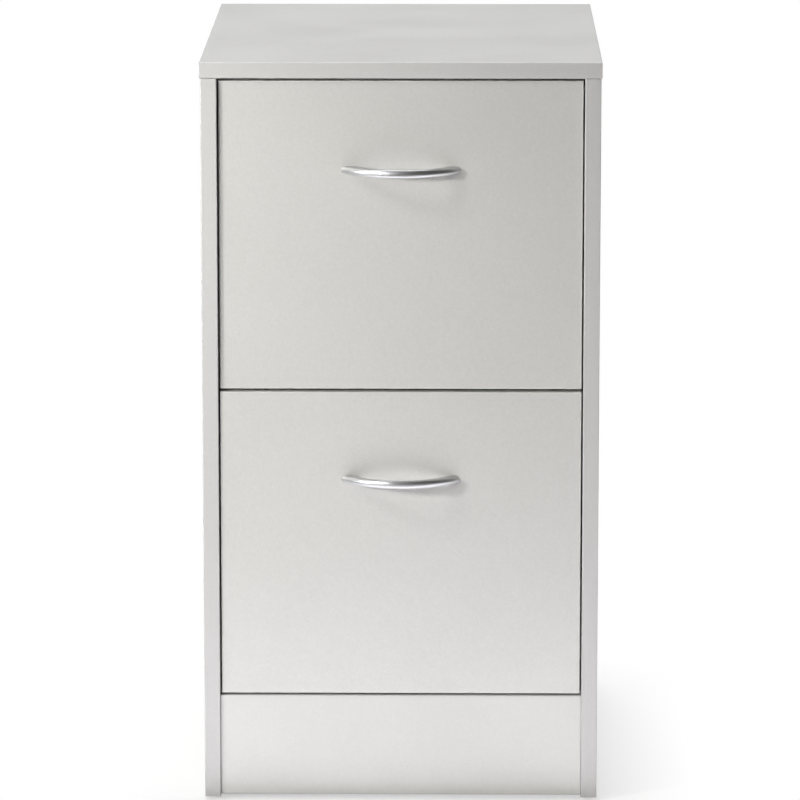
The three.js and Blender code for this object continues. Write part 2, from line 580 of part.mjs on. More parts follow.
function buildDrawer(drawer) {
  const plan = runnerPlan(drawer);
  drawerFront(drawer, plan);
  boxBack(drawer, plan);
  boxBottom(drawer, plan);
  bowHandle(drawer);
  for (const hand of SIDES) {
    const { side, sign } = hand;
    boxSide(drawer, plan, hand);
    fileRail(drawer, plan, hand);
    handleScrew(drawer, plan, hand);
    cabinetRunner(drawer, plan, hand);
    drawerRunner(drawer, plan, hand);
    roller(`${drawer.name}_front_roller_${side}`, sign, FRONT_ROLLER_LANE, plan.frontRollerY, plan.rollerZ);
    roller(`${drawer.name}_rear_roller_${side}`, sign, REAR_ROLLER_LANE, plan.rearRollerY, plan.rollerZ);
  }
}

// ---------------------------------------------------------------- assembly

topPanel();
SIDES.forEach(sidePanel);
bottomPanel();
plinthPanel();
backPanel();
for (const hand of SIDES) {
  for (const end of ENDS) {
    glide(hand, end);
    topJoint(hand, end);
  }
  bottomJoint(hand);
  plinthDowel(hand);
}
buildDrawer({ name: 'lower', base: LOWER_BASE, recess: LOWER_RECESS });
buildDrawer({ name: 'upper', base: UPPER_BASE, recess: UPPER_RECESS });

export default cabinet;
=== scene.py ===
# %% [markdown]
# # A filing cabinet with two deep drawers
#
# The real cabinet is a flat-packed one: 16 mm chipboard faced with a silver-grey pearl melamine, two
# drawers on roller runners, and a satin metal bow handle on each. The measured solids come from the
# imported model, which stays fixed. This file dresses it: the boards get their edge bands, the pressed
# runners their bends, and every surface a finish worked out by shader nodes.
#
# Everything is in metres: +X to the cabinet's right as one faces it, -Y to its front, +Z up.

# %% Loading the frame
import json
from math import pi, radians

import bmesh
import bpy
import numpy as np
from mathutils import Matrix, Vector


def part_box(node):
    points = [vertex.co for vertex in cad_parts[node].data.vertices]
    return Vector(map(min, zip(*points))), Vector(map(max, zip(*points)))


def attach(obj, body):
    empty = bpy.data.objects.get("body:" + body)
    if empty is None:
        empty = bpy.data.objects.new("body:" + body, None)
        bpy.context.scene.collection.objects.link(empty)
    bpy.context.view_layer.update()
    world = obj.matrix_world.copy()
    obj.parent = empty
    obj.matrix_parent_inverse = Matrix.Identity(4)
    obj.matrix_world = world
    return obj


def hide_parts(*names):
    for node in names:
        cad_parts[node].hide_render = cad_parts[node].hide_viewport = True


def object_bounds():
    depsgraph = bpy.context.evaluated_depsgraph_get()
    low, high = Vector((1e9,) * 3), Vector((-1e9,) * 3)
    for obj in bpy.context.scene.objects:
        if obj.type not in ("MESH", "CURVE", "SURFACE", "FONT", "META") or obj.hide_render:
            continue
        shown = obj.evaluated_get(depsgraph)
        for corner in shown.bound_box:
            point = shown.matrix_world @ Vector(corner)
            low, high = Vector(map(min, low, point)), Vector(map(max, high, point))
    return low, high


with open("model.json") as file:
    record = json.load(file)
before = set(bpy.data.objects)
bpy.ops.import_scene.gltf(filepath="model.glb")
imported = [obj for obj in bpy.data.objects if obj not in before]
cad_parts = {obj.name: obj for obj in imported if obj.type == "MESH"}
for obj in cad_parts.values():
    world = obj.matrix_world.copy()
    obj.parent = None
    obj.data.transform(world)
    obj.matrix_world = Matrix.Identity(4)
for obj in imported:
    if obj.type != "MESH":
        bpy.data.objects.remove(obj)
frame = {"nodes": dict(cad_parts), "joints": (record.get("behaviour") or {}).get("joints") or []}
cad_low, cad_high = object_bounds()
MM = 0.001
print("frame:", len(frame["nodes"]), "solids,", [round(v / MM, 1) for v in cad_high - cad_low], "mm")

# %% [markdown]
# ## Reading sizes
#
# Each new piece takes its place from the solid that it stands for, so the two always agree. `span` gives
# a solid's two limits along one axis, and `round_about` the middle and radius of a round one.

# %% Sizes of the solids
AXES = {"x": 0, "y": 1, "z": 2}


def corners(node):
    """The lowest and highest corners of a solid, as two arrays."""
    low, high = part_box(node)
    return np.array(low), np.array(high)


def span(node, axis):
    """The two limits of a solid along one axis."""
    low, high = corners(node)
    return low[AXES[axis]], high[AXES[axis]]


def middle(node):
    """The middle of a solid's box."""
    low, high = corners(node)
    return (low + high) / 2


def round_about(node, axis):
    """Centre and radius, across an axis, of a solid that is round about that axis."""
    low, high = corners(node)
    across = [k for k in range(3) if k != AXES[axis]]
    return middle(node)[across], (high - low)[across[0]] / 2


SIDE_INNER_X = span("right_side_panel", "x")[0]
SIDE_FRONT_Y = span("left_side_panel", "y")[0]
print("side panels: inner faces", round(SIDE_INNER_X / MM, 1), "front edges", round(SIDE_FRONT_Y / MM, 2))

# %% [markdown]
# ## Outlines with eased corners
#
# Nothing in the workshop has a perfectly sharp edge: an edge band is scraped round, and sheet steel is
# bent round a tool. The small arc is what catches the light, so it is real geometry here and not a trick
# of shading. One function eases the corners of any outline, hollow corners included.


# %% Easing an outline
def eased(outline, radii, steps=4):
    """A closed outline with an arc at each corner.

    With unit directions a and b from the corner to its neighbours and the angle A between them, the arc's
    centre is the corner + (a + b) / |a + b| * radius / sin(A / 2). The arc's spoke turns from the one that
    touches the first side to the one that touches the second by spherical interpolation through pi - A.
    """
    outline = np.asarray(outline, float)
    radii = np.broadcast_to(np.asarray(radii, float), len(outline))[:, None]
    back = np.roll(outline, 1, 0) - outline
    ahead = np.roll(outline, -1, 0) - outline
    back /= np.linalg.norm(back, axis=1, keepdims=True)
    ahead /= np.linalg.norm(ahead, axis=1, keepdims=True)
    angle = np.arccos(np.clip((back * ahead).sum(1, keepdims=True), -1, 1))
    inward = back + ahead
    inward /= np.linalg.norm(inward, axis=1, keepdims=True)
    centre = outline + inward * radii / np.sin(angle / 2)
    first = outline + back * radii / np.tan(angle / 2) - centre
    last = outline + ahead * radii / np.tan(angle / 2) - centre
    turn = pi - angle
    t = np.linspace(0, 1, steps + 1)
    from_first = (np.sin((1 - t) * turn) / np.sin(turn))[..., None]
    from_last = (np.sin(t * turn) / np.sin(turn))[..., None]
    arcs = centre[:, None] + from_first * first[:, None] + from_last * last[:, None]
    return arcs.reshape(-1, 2)


def drawn_in(outline, depth):
    """An outline moved inward by depth: each point goes along its own normal, which is at right angles to
    the line between its two neighbours."""
    chord = np.roll(outline, -1, 0) - np.roll(outline, 1, 0)
    normal = np.stack([-chord[:, 1], chord[:, 0]], 1)
    normal /= np.linalg.norm(normal, axis=1, keepdims=True)
    x, y = outline.T
    area = (x * np.roll(y, -1) - np.roll(x, -1) * y).sum()
    return outline + normal * depth * np.sign(area)


trial = eased([(0, 0), (10 * MM, 0), (10 * MM, 10 * MM), (0, 10 * MM)], 2 * MM)
print("a square with rounded corners:", len(trial), "points")


# %% [markdown]
# ## Skins over rings
#
# A board, a bent profile, a turned pin and the bow of a handle are all the same thing to the computer: a
# row of rings of points with a skin of four-sided faces over them. The rings are whole arrays, so a shape
# is a formula and not a list of clicks.

# %% Rings and skins
PLACES = {"x": (0, 1, 2), "y": (1, 0, 2), "z": (1, 2, 0)}
HAIR = 0.01 * MM


def spread(axis, along, first, second):
    """Points from a distance along an axis and two distances across it, taken in x, y, z order."""
    parts = np.broadcast_arrays(along, first, second)
    return np.stack([parts[k] for k in PLACES[axis]], -1)


def skin(rings, joined=False):
    """Faces over a grid of rings: each point is joined to the next in its ring and to its like in the next
    ring. The ends are closed by one face each, or the last ring is joined to the first."""
    count, around = rings.shape[:2]
    grid = np.arange(count * around).reshape(count, around)
    beside = np.roll(grid, -1, 1)
    if joined:
        quads = np.stack([grid, beside, np.roll(beside, -1, 0), np.roll(grid, -1, 0)], -1)
        return rings.reshape(-1, 3), quads.reshape(-1, 4).tolist()
    quads = np.stack([grid[:-1], beside[:-1], beside[1:], grid[1:]], -1)
    ends = [grid[0][::-1].tolist(), grid[-1].tolist()]
    return rings.reshape(-1, 3), quads.reshape(-1, 4).tolist() + ends


def easing(depth, steps):
    """Quarter-round of the given depth: how far each ring lies from the end, depth * (1 - cos t), and how
    far it is drawn in, depth * (1 - sin t), for t from 0 to a right angle."""
    t = np.linspace(0, pi / 2, steps + 1)
    return depth * (1 - np.cos(t)), depth * (1 - np.sin(t))


def slab(low, high, axis="z", corner=0.1 * MM, ease=0.1 * MM, steps=4):
    """A block with eased edges: rectangles stacked along an axis. The first and last few are drawn in by a
    quarter-round of radius ease, and each has its own corners rounded by the corner radii."""
    order = [AXES[axis]] + [k for k in range(3) if k != AXES[axis]]
    (a0, f0, s0), (a1, f1, s1) = np.minimum(low, high)[order], np.maximum(low, high)[order]
    near, inset = easing(ease, steps)
    stations = np.concatenate([a0 + near, a1 - near[::-1]])
    insets = np.concatenate([inset, inset[::-1]])
    radii = np.broadcast_to(np.asarray(corner, float), 4)
    rings = []
    for station, e in zip(stations, insets):
        box = [(f0 + e, s0 + e), (f1 - e, s0 + e), (f1 - e, s1 - e), (f0 + e, s1 - e)]
        ring = eased(box, np.maximum(radii - e, HAIR), steps)
        rings.append(spread(axis, station, ring[:, 0], ring[:, 1]))
    return skin(np.stack(rings))


def cutting_block(low, high, axis="z"):
    """A sharp-edged block, for a saw cut or a groove."""
    return slab(low, high, axis, HAIR, HAIR, 1)


def profile(outline, axis, start, end, ease=0.08 * MM):
    """An outline carried straight along an axis, its two ends drawn in by a quarter-round."""
    near, inset = easing(ease, 2)
    stations = np.concatenate([start + near, end - near[::-1]])
    shapes = [drawn_in(outline, e) for e in np.concatenate([inset, inset[::-1]])]
    return skin(np.stack([spread(axis, s, o[:, 0], o[:, 1]) for s, o in zip(stations, shapes)]))


def turned(pairs, axis, centre, segments=40, joined=False):
    """A turned shape: each (radius, distance along the axis) pair is a circle centre + radius * (cos, sin).
    When joined, the pairs close on themselves and leave a bore."""
    radius, along = np.asarray(pairs, float).T
    angle = np.linspace(0, 2 * pi, segments, endpoint=False)
    first = centre[0] + radius[:, None] * np.cos(angle)
    second = centre[1] + radius[:, None] * np.sin(angle)
    return skin(spread(axis, along[:, None], first, second), joined)


def rod(radius, start, end, axis, centre, ease=0.1 * MM, segments=32):
    """A round bar between two distances along an axis, its ends eased."""
    e = ease * np.sign(end - start)
    pairs = [(radius - ease, start), (radius, start + e), (radius, end - e), (radius - ease, end)]
    return turned(pairs, axis, centre, segments)


points, faces = slab((0, 0, 0), (10 * MM, 10 * MM, 10 * MM))
print("a block with eased edges:", len(points), "points,", len(faces), "faces")


# %% [markdown]
# ## Making a piece
#
# A piece is one object made of one or more closed skins. Bores and grooves are cut with Blender's exact
# Boolean, as a drill or a saw would, and the result is kept as plain mesh. Weighted normals keep the
# broad faces perfectly flat in the light while their narrow arrises stay round.


def mesh_of(name, skins):
    """One mesh from several skins, with its faces turned to point outward."""
    starts = np.cumsum([0] + [len(points) for points, _ in skins])
    faces = [[k + start for k in face] for (_, own), start in zip(skins, starts) for face in own]
    mesh = bpy.data.meshes.new(name)
    mesh.from_pydata(np.concatenate([points for points, _ in skins]).tolist(), [], faces)
    work = bmesh.new()
    work.from_mesh(mesh)
    bmesh.ops.recalc_face_normals(work, faces=work.faces)
    work.to_mesh(mesh)
    work.free()
    return mesh


def cut(piece, cutters):
    """Take the cutters away from the piece, and keep the result as its mesh."""
    for k, cutter in enumerate(cutters):
        tool = bpy.data.objects.new("cutter", mesh_of("cutter", [cutter]))
        bpy.context.scene.collection.objects.link(tool)
        change = piece.modifiers.new(f"cut_{k}", "BOOLEAN")
        change.operation, change.solver, change.object = "DIFFERENCE", "EXACT", tool
        result = bpy.data.meshes.new_from_object(piece.evaluated_get(bpy.context.evaluated_depsgraph_get()))
        piece.modifiers.clear()
        piece.data = result
        bpy.data.objects.remove(tool)


def piece(name, skins, finish, body, slot, stands_for=(), cutters=(), sharp=40):
    """A finished piece: its mesh, shading and finish, the body that it rides on and what it replaces."""
    obj = bpy.data.objects.new(name, mesh_of(name, skins))
    bpy.context.scene.collection.objects.link(obj)
    cut(obj, cutters)
    obj.data.name = name
    obj.data.materials.clear()
    obj.data.materials.append(finish)
    obj.data.shade_smooth()
    obj.data.set_sharp_from_angle(angle=radians(sharp))
    flat = obj.modifiers.new("flat_faces", "WEIGHTED_NORMAL")
    flat.keep_sharp = True
    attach(obj, body)
    if stands_for:
        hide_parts(*stands_for)
    return obj


def face_finish(obj, finish, axis, at, reach=0.12 * MM):
    """Give another finish to the faces that look along an axis and lie at one level on it."""
    count = len(obj.data.polygons)
    centres, normals = np.zeros(count * 3), np.zeros(count * 3)
    obj.data.polygons.foreach_get("center", centres)
    obj.data.polygons.foreach_get("normal", normals)
    k = AXES[axis]
    level = np.abs(centres.reshape(-1, 3)[:, k] - at) < reach
    facing = np.abs(normals.reshape(-1, 3)[:, k]) > 0.9
    own = np.zeros(count, np.int32)
    obj.data.polygons.foreach_get("material_index", own)
    obj.data.materials.append(finish)
    own[level & facing] = len(obj.data.materials) - 1
    obj.data.polygons.foreach_set("material_index", own)
    obj.data.update()


# %% [markdown]
# ## Patterns that finishes share
#
# Three node groups hold the patterns. `grain` is a noise stretched by a different scale on each axis: with
# equal scales it is the pearl speckle of melamine or the skin of a plastic moulding, and with unequal
# ones it is a fibre or a brushing mark. `chips` is the broken-wood look of a sawn chipboard edge.
# `handling` is the wide, faint cloudiness that wiping and touching leave on any surface.
# All of them read Object coordinates, so a pattern stays where it is when a drawer moves.


# %% Node helpers
def put(tree, kind, inputs=None, **settings):
    """One node. An input that is given a socket is linked to it, and any other is set."""
    made = tree.nodes.new(kind)
    for name, value in settings.items():
        setattr(made, name, value)
    for name, value in (inputs or {}).items():
        if isinstance(value, bpy.types.NodeSocket):
            tree.links.new(value, made.inputs[name])
        else:
            made.inputs[name].default_value = value
    return made


def math_of(tree, operation, first, second):
    """The result socket of a Math node."""
    return put(tree, "ShaderNodeMath", {0: first, 1: second}, operation=operation).outputs[0]


def ranged(tree, value, low, high, to_low, to_high):
    """A value moved from one range to another, and kept inside it."""
    inputs = {"Value": value, "From Min": low, "From Max": high, "To Min": to_low, "To Max": to_high}
    return put(tree, "ShaderNodeMapRange", inputs).outputs["Result"]


def new_group(name, inputs, outputs):
    """An empty node group with named sockets, and its input and output nodes."""
    group = bpy.data.node_groups.new(name, "ShaderNodeTree")
    for socket, kind, value in inputs:
        made = group.interface.new_socket(socket, in_out="INPUT", socket_type=kind)
        made.default_value = value
    for socket in outputs:
        group.interface.new_socket(socket, in_out="OUTPUT", socket_type="NodeSocketFloat")
    return group, group.nodes.new("NodeGroupInput").outputs, group.nodes.new("NodeGroupOutput").inputs


def place_of(tree):
    """The socket with Object coordinates, in metres."""
    return put(tree, "ShaderNodeTexCoord").outputs["Object"]


# %% The grain group
SCALE, SHARE = "NodeSocketVector", "NodeSocketFloat"
grain, given, out = new_group(
    "grain",
    [("Scale", SCALE, (1000, 1000, 1000)), ("Coarse Share", SHARE, 0.35), ("Coarse Size", SHARE, 4.0)],
    ["Tone", "Height"],
)
scaled = put(grain, "ShaderNodeVectorMath", {0: place_of(grain), 1: given["Scale"]}, operation="MULTIPLY")
fine = put(grain, "ShaderNodeTexNoise", {"Vector": scaled.outputs[0], "Scale": 1.0, "Detail": 3.0})
shrink = math_of(grain, "DIVIDE", 1.0, given["Coarse Size"])
wide = put(grain, "ShaderNodeTexNoise", {"Vector": scaled.outputs[0], "Scale": shrink, "Detail": 1.5})
mixed = put(
    grain,
    "ShaderNodeMix",
    {"Factor": given["Coarse Share"], "A": fine.outputs["Fac"], "B": wide.outputs["Fac"]},
)
grain.links.new(ranged(grain, mixed.outputs["Result"], 0.28, 0.72, 0.0, 1.0), out["Tone"])
grain.links.new(fine.outputs["Fac"], out["Height"])
print("grain:", len(grain.nodes), "nodes")

# %% The chips group
chips, given, out = new_group("chips", [("Scale", SCALE, (500, 500, 900))], ["Tone", "Height"])
scaled = put(chips, "ShaderNodeVectorMath", {0: place_of(chips), 1: given["Scale"]}, operation="MULTIPLY")
bend = put(chips, "ShaderNodeTexNoise", {"Vector": scaled.outputs[0], "Scale": 0.6, "Detail": 2.0})
bent = put(chips, "ShaderNodeVectorMath", {0: scaled.outputs[0], 1: bend.outputs["Color"]}, operation="ADD")
cells = put(chips, "ShaderNodeTexVoronoi", {"Vector": bent.outputs[0], "Scale": 0.8, "Randomness": 1.0})
lone = put(chips, "ShaderNodeSeparateColor", {"Color": cells.outputs["Color"]})
dust = put(chips, "ShaderNodeTexNoise", {"Vector": scaled.outputs[0], "Scale": 2.5, "Detail": 4.0})
tone = put(chips, "ShaderNodeMix", {"Factor": 0.45, "A": lone.outputs["Red"], "B": dust.outputs["Fac"]})
chips.links.new(tone.outputs["Result"], out["Tone"])
chips.links.new(math_of(chips, "SUBTRACT", dust.outputs["Fac"], cells.outputs["Distance"]), out["Height"])
print("chips:", len(chips.nodes), "nodes")

# %% The handling group
handling, given, out = new_group("handling", [("Cloud Size", SHARE, 0.09)], ["Cloud", "Scuff"])
near = place_of(handling)
often = math_of(handling, "DIVIDE", 1.0, given["Cloud Size"])
clouds = {"Vector": near, "Scale": often, "Detail": 3.0, "Roughness": 0.55}
cloud = put(handling, "ShaderNodeTexNoise", clouds)
handling.links.new(ranged(handling, cloud.outputs["Fac"], 0.35, 0.65, 0.0, 1.0), out["Cloud"])
scuffs = {"Vector": near, "Scale": 160.0, "Detail": 6.0, "Roughness": 0.7}
rubs = put(handling, "ShaderNodeTexNoise", scuffs)
handling.links.new(ranged(handling, rubs.outputs["Fac"], 0.58, 0.75, 0.0, 1.0), out["Scuff"])
print("patterns:", [g.name for g in bpy.data.node_groups])

# %% [markdown]
# ## From pattern to finish
#
# A finish runs between two colours by a pattern's tone, is glossier or duller by the handling cloud, and
# takes its relief from the pattern's height. What is the same all over, such as how metallic it is, is
# set on the shader itself.


# %% The finish maker
SOIL = (0.78, 0.77, 0.75, 1)
SCUFF = 0.05


def finish_of(name, dark, light, rough, relief, pattern=grain, scale=(1000, 1000, 1000), coarse=0.35,
              coarse_size=4.0, cloud_size=0.09, cloud=0.02, **constants):
    """A finish. dark and light are the colours at the ends of the pattern; rough is the roughness where it
    is wiped smooth and where it is dull; relief is the pattern's depth in metres; cloud is a quarter of
    how strongly the soil is laid on where the handling is thickest."""
    material = bpy.data.materials.new(name)
    material.use_nodes = True
    tree = material.node_tree
    shader = tree.nodes["Principled BSDF"]
    figure = put(tree, "ShaderNodeGroup", node_tree=pattern)
    figure.inputs["Scale"].default_value = scale
    if pattern is grain:
        figure.inputs["Coarse Share"].default_value = coarse
        figure.inputs["Coarse Size"].default_value = coarse_size
    touch = put(tree, "ShaderNodeGroup", node_tree=handling)
    touch.inputs["Cloud Size"].default_value = cloud_size
    base = put(tree, "ShaderNodeMix", {"Factor": figure.outputs["Tone"]}, data_type="RGBA")
    base.inputs["A"].default_value = (*dark, 1)
    base.inputs["B"].default_value = (*light, 1)
    soiled = put(tree, "ShaderNodeMix", data_type="RGBA", blend_type="MULTIPLY")
    tree.links.new(base.outputs["Result"], soiled.inputs["A"])
    tree.links.new(ranged(tree, touch.outputs["Cloud"], 0.0, 1.0, 0.0, cloud * 4), soiled.inputs["Factor"])
    soiled.inputs["B"].default_value = SOIL
    tree.links.new(soiled.outputs["Result"], shader.inputs["Base Color"])
    gloss = ranged(tree, touch.outputs["Cloud"], 0.0, 1.0, rough[0], rough[1])
    scuffed = math_of(tree, "MULTIPLY_ADD", touch.outputs["Scuff"], SCUFF)
    tree.links.new(gloss, scuffed.node.inputs[2])
    tree.links.new(scuffed, shader.inputs["Roughness"])
    lift = put(tree, "ShaderNodeBump", {"Height": figure.outputs["Height"], "Distance": relief})
    lift.inputs["Strength"].default_value = 1.0
    tree.links.new(lift.outputs["Normal"], shader.inputs["Normal"])
    for socket, value in constants.items():
        shader.inputs[socket.replace("_", " ")].default_value = value
    material.diffuse_color = (*light, 1)
    return material


# %% [markdown]
# ## The finishes
#
# The melamine is a silver-grey pearl: a resin paper printed with specks about a millimetre across, with
# a little mica in it, so it is a touch metallic. Its edge band is the same print on a plastic strip, with
# less relief and less gloss. Where the maker saves on banding, at the rear and underneath, the sawn
# chipboard shows.

# %% Board finishes
PEARL = Vector((0.602, 0.599, 0.580))
BAND_GREY = Vector((0.533, 0.528, 0.522))
pearl = finish_of(
    "silver_pearl_melamine", PEARL * 0.95, PEARL * 1.045, (0.38, 0.44), 0.012 * MM,
    scale=(650, 650, 650), coarse=0.25, coarse_size=3.0, Metallic=0.30, IOR=1.5,
)
band = finish_of(
    "silver_edge_band", BAND_GREY * 0.95, BAND_GREY * 1.035, (0.50, 0.56), 0.006 * MM,
    scale=(650, 650, 650), coarse=0.25, coarse_size=3.0, Metallic=0.30, IOR=1.5,
)
# Paler bands for the drawer fronts: partly a lighter strip, partly a painted highlight standing in for the
# bright line that the fronts' rounded arrises catch.
pale_band_and_highlight = finish_of(
    "pale_edge_band_and_painted_highlight", PEARL * 1.06, PEARL * 1.16, (0.34, 0.40), 0.006 * MM,
    scale=(900, 900, 900), coarse=0.25, Metallic=0.20, IOR=1.5,
)
drawer_grey = finish_of(
    "drawer_box_foil", PEARL * 0.93, PEARL * 1.02, (0.46, 0.54), 0.016 * MM,
    scale=(800, 800, 800), coarse=0.4, Metallic=0.05,
)
sawn = finish_of(
    "sawn_chipboard", (0.20, 0.118, 0.055), (0.60, 0.43, 0.255), (0.80, 0.90), 0.25 * MM,
    pattern=chips, scale=(420, 420, 900), cloud=0.03,
)
hardboard = finish_of(
    "raw_hardboard", (0.145, 0.083, 0.042), (0.27, 0.165, 0.088), (0.62, 0.75), 0.05 * MM,
    scale=(700, 420, 420), coarse=0.5, coarse_size=6.0, cloud_size=0.14, cloud=0.05,
)
lacquered = finish_of(
    "lacquered_hardboard", (0.50, 0.49, 0.465), (0.58, 0.57, 0.54), (0.42, 0.52), 0.02 * MM,
    scale=(600, 600, 600), coarse=0.5, cloud_size=0.12, cloud=0.03,
)
print("board finishes:", [made.name for made in (pearl, band, pale_band_and_highlight, drawer_grey, sawn, hardboard)])

# %% [markdown]
# The metal and plastic parts each keep one telling trait: the satin handle a fine blasted sparkle, the
# runners the orange peel of baked epoxy, the zinc-plated fittings a cloudy passivated skin, and the
# mouldings a slight matt grain.

# %% Metal and plastic finishes
satin = finish_of(
    "satin_zinc", (0.58, 0.585, 0.60), (0.68, 0.685, 0.70), (0.32, 0.38), 0.0035 * MM,
    scale=(2600, 2600, 2600), coarse=0.2, cloud_size=0.03, cloud=0.01, Metallic=1.0,
)
plated = finish_of(
    "zinc_plate", (0.42, 0.425, 0.43), (0.62, 0.62, 0.60), (0.28, 0.42), 0.01 * MM,
    scale=(900, 900, 900), coarse=0.6, cloud_size=0.012, cloud=0.06, Metallic=0.9,
)
epoxy = finish_of(
    "pale_epoxy", (0.545, 0.545, 0.53), (0.60, 0.598, 0.58), (0.30, 0.38), 0.03 * MM,
    scale=(420, 420, 420), coarse=0.6, coarse_size=2.5, cloud_size=0.05, cloud=0.02, Coat_Weight=0.15,
)
nylon = finish_of(
    "roller_nylon", (0.72, 0.70, 0.64), (0.80, 0.785, 0.73), (0.38, 0.48), 0.02 * MM,
    scale=(900, 900, 900), coarse=0.5, cloud_size=0.02, cloud=0.04,
)
grey_plastic = finish_of(
    "grey_rail_plastic", (0.27, 0.28, 0.285), (0.33, 0.34, 0.345), (0.42, 0.52), 0.02 * MM,
    scale=(1200, 160, 1200), coarse=0.4, cloud_size=0.05, cloud=0.04,
)
brown_plastic = finish_of(
    "brown_glide_plastic", (0.115, 0.072, 0.042), (0.16, 0.10, 0.06), (0.48, 0.60), 0.03 * MM,
    scale=(1000, 1000, 1000), coarse=0.5, cloud_size=0.02, cloud=0.05,
)
beech = finish_of(
    "beech_dowel", (0.44, 0.27, 0.13), (0.62, 0.43, 0.24), (0.60, 0.72), 0.05 * MM,
    scale=(120, 1800, 1800), coarse=0.5, cloud_size=0.02, cloud=0.04,
)
print("finishes:", len(bpy.data.materials))

# %% [markdown]
# ## Boards with edge bands
#
# A banded board is a core with a strip of 1 mm plastic glued along an edge, scraped to a small round on
# its two outer corners. The core and the strips are separate skins with a hairline between them, as on
# the real thing; one stretched block would lose both the seam and the soft arris that lights up.
# The drawer fronts are banded all round, the top on three sides and each side panel at its front.

# %% Banding
SIDES = (("left", -1), ("right", 1))
DRAWERS = ("lower", "upper")
BAND = 1.0 * MM
ARRIS = 0.8 * MM
SEAM = 0.06 * MM


def pulled(low, high, edges):
    """The core's corners: drawn in by the band's thickness at each banded edge, such as "+x" or "-y"."""
    low, high = low.copy(), high.copy()
    for edge in edges:
        k = AXES[edge[1]]
        if edge[0] == "-":
            low[k] += BAND
        else:
            high[k] -= BAND
    return low, high


def core(low, high, edges, axis):
    """A board between its bands, with edges that are all but sharp. The axis is that of its thickness."""
    return slab(*pulled(low, high, edges), axis, SEAM, SEAM)


def strip(low, high, edge, along):
    """One strip on an edge of a board, running along an axis. Its two outer corners are rounded by the
    arris radius and its two inner ones by the seam."""
    low, high = low.copy(), high.copy()
    k = AXES[edge[1]]
    if edge[0] == "-":
        high[k] = low[k] + BAND
    else:
        low[k] = high[k] - BAND
    across = [axis for axis in "xyz" if axis != along]
    outer_first = edge[0] == "-"
    if across[0] == edge[1]:
        radii = [ARRIS, SEAM, SEAM, ARRIS] if outer_first else [SEAM, ARRIS, ARRIS, SEAM]
    else:
        radii = [ARRIS, ARRIS, SEAM, SEAM] if outer_first else [SEAM, SEAM, ARRIS, ARRIS]
    return slab(low, high, along, radii, SEAM * 3)


print("bands:", BAND / MM, "mm thick with arrises of", ARRIS / MM, "mm")

# %% [markdown]
# ## The carcass
#
# The top lies on the two sides and hides their upper ends. From below one sees the row of fittings: cams
# in shallow bores near the tops of the sides and under the bottom panel. The bores and the groove for
# the back are cut into the cores with the same sizes as in the solids.

# %% Fittings in the carcass
FITTING_CORNERS = ["front_left", "front_right", "rear_left", "rear_right"]
CLEAR = 0.3 * MM
OVERRUN = 2 * MM


def bore_for(cam, axis, opening, inward):
    """A cutter for a cam's bore: it opens at a face and goes inward past the cam's end."""
    centre, radius = round_about(cam, axis)
    low, high = span(cam, axis)
    end = (high + 0.1 * MM) if inward > 0 else (low - 0.1 * MM)
    return rod(radius + CLEAR, opening - inward * OVERRUN, end, axis, centre, 0.0, 40)


def back_groove(low, high):
    """A cutter for the groove that holds the back panel, between two (x, z) corners."""
    y0, y1 = span("back_panel", "y")
    return cutting_block((low[0], y0 - CLEAR, low[1]), (high[0], y1 + CLEAR, high[1]))


def carcass_piece(name, skins, finish, stands_for=(), cutters=()):
    """A board of the carcass, or the bands on it."""
    return piece(name, skins, finish, "carcass", "silver_melamine", stands_for, cutters)


def thin_sheet(low, high, axis):
    """A hardboard sheet: small rounds at its corners, and a slight one along its edges."""
    return slab(low, high, axis, 0.4 * MM, 0.15 * MM, 2)


back_y = span("back_panel", "y")
print("back groove:", round((back_y[1] - back_y[0] + 2 * CLEAR) / MM, 1), "mm wide")

# %% Top board
low, high = corners("top_panel")
groove_x = span("back_panel", "x")[1] + CLEAR
groove_top = span("back_panel", "z")[1] + CLEAR
top_groove = back_groove((-groove_x, low[2] - OVERRUN), (groove_x, groove_top))
board = core(low, high, ["-x", "+x", "-y"], "z")
top_board = carcass_piece("top_board", [board], pearl, ["top_panel"], [top_groove])
face_finish(top_board, sawn, "y", high[1])
behind_front = low + (0, BAND, 0)
strips = [strip(low, high, "-y", "x")] + [strip(behind_front, high, edge, "y") for edge in ("-x", "+x")]
carcass_piece("top_edge_bands", strips, band)
print("top:", [round(v / MM, 1) for v in high - low], "mm, groove", round((groove_top - low[2]) / MM, 1))

# %% Side boards
for side, sign in SIDES:
    node = f"{side}_side_panel"
    low, high = corners(node)
    inner = sign * SIDE_INNER_X
    groove = sorted((inner - sign * OVERRUN, sign * groove_x))
    cutters = [back_groove((groove[0], low[2] - OVERRUN), (groove[1], high[2] + OVERRUN))]
    cutters += [bore_for(f"cam_top_{end}_{side}", "x", inner, sign) for end in ("front", "rear")]
    skins = [core(low, high, ["-y"], "x")]
    board = carcass_piece(f"{side}_side_board", skins, pearl, [node], cutters)
    face_finish(board, sawn, "y", high[1])
    face_finish(board, sawn, "z", low[2])
    carcass_piece(f"{side}_side_edge_band", [strip(low, high, "-y", "z")], band)

# %% Bottom board, plinth and back
low, high = corners("bottom_panel")
bores = [bore_for(f"cam_bottom_{side}", "z", low[2], 1) for side, _ in SIDES]
board = core(low, high, ["-y"], "z")
bottom = carcass_piece("bottom_board", [board], pearl, ["bottom_panel"], bores)
face_finish(bottom, sawn, "y", high[1])
carcass_piece("bottom_edge_band", [strip(low, high, "-y", "x")], band)

low, high = corners("plinth_panel")
carcass_piece("plinth_board", [core(low, high, ["-z", "+z"], "y")], pearl, ["plinth_panel"])
carcass_piece("plinth_edge_bands", [strip(low, high, edge, "x") for edge in ("-z", "+z")], band)

low, high = corners("back_panel")
back = piece(
    "back_sheet", [thin_sheet(low, high, "y")], hardboard, "carcass", "hardboard", ["back_panel"]
)
face_finish(back, lacquered, "y", low[1])
print("back sheet:", [round(v / MM, 1) for v in high - low], "mm")

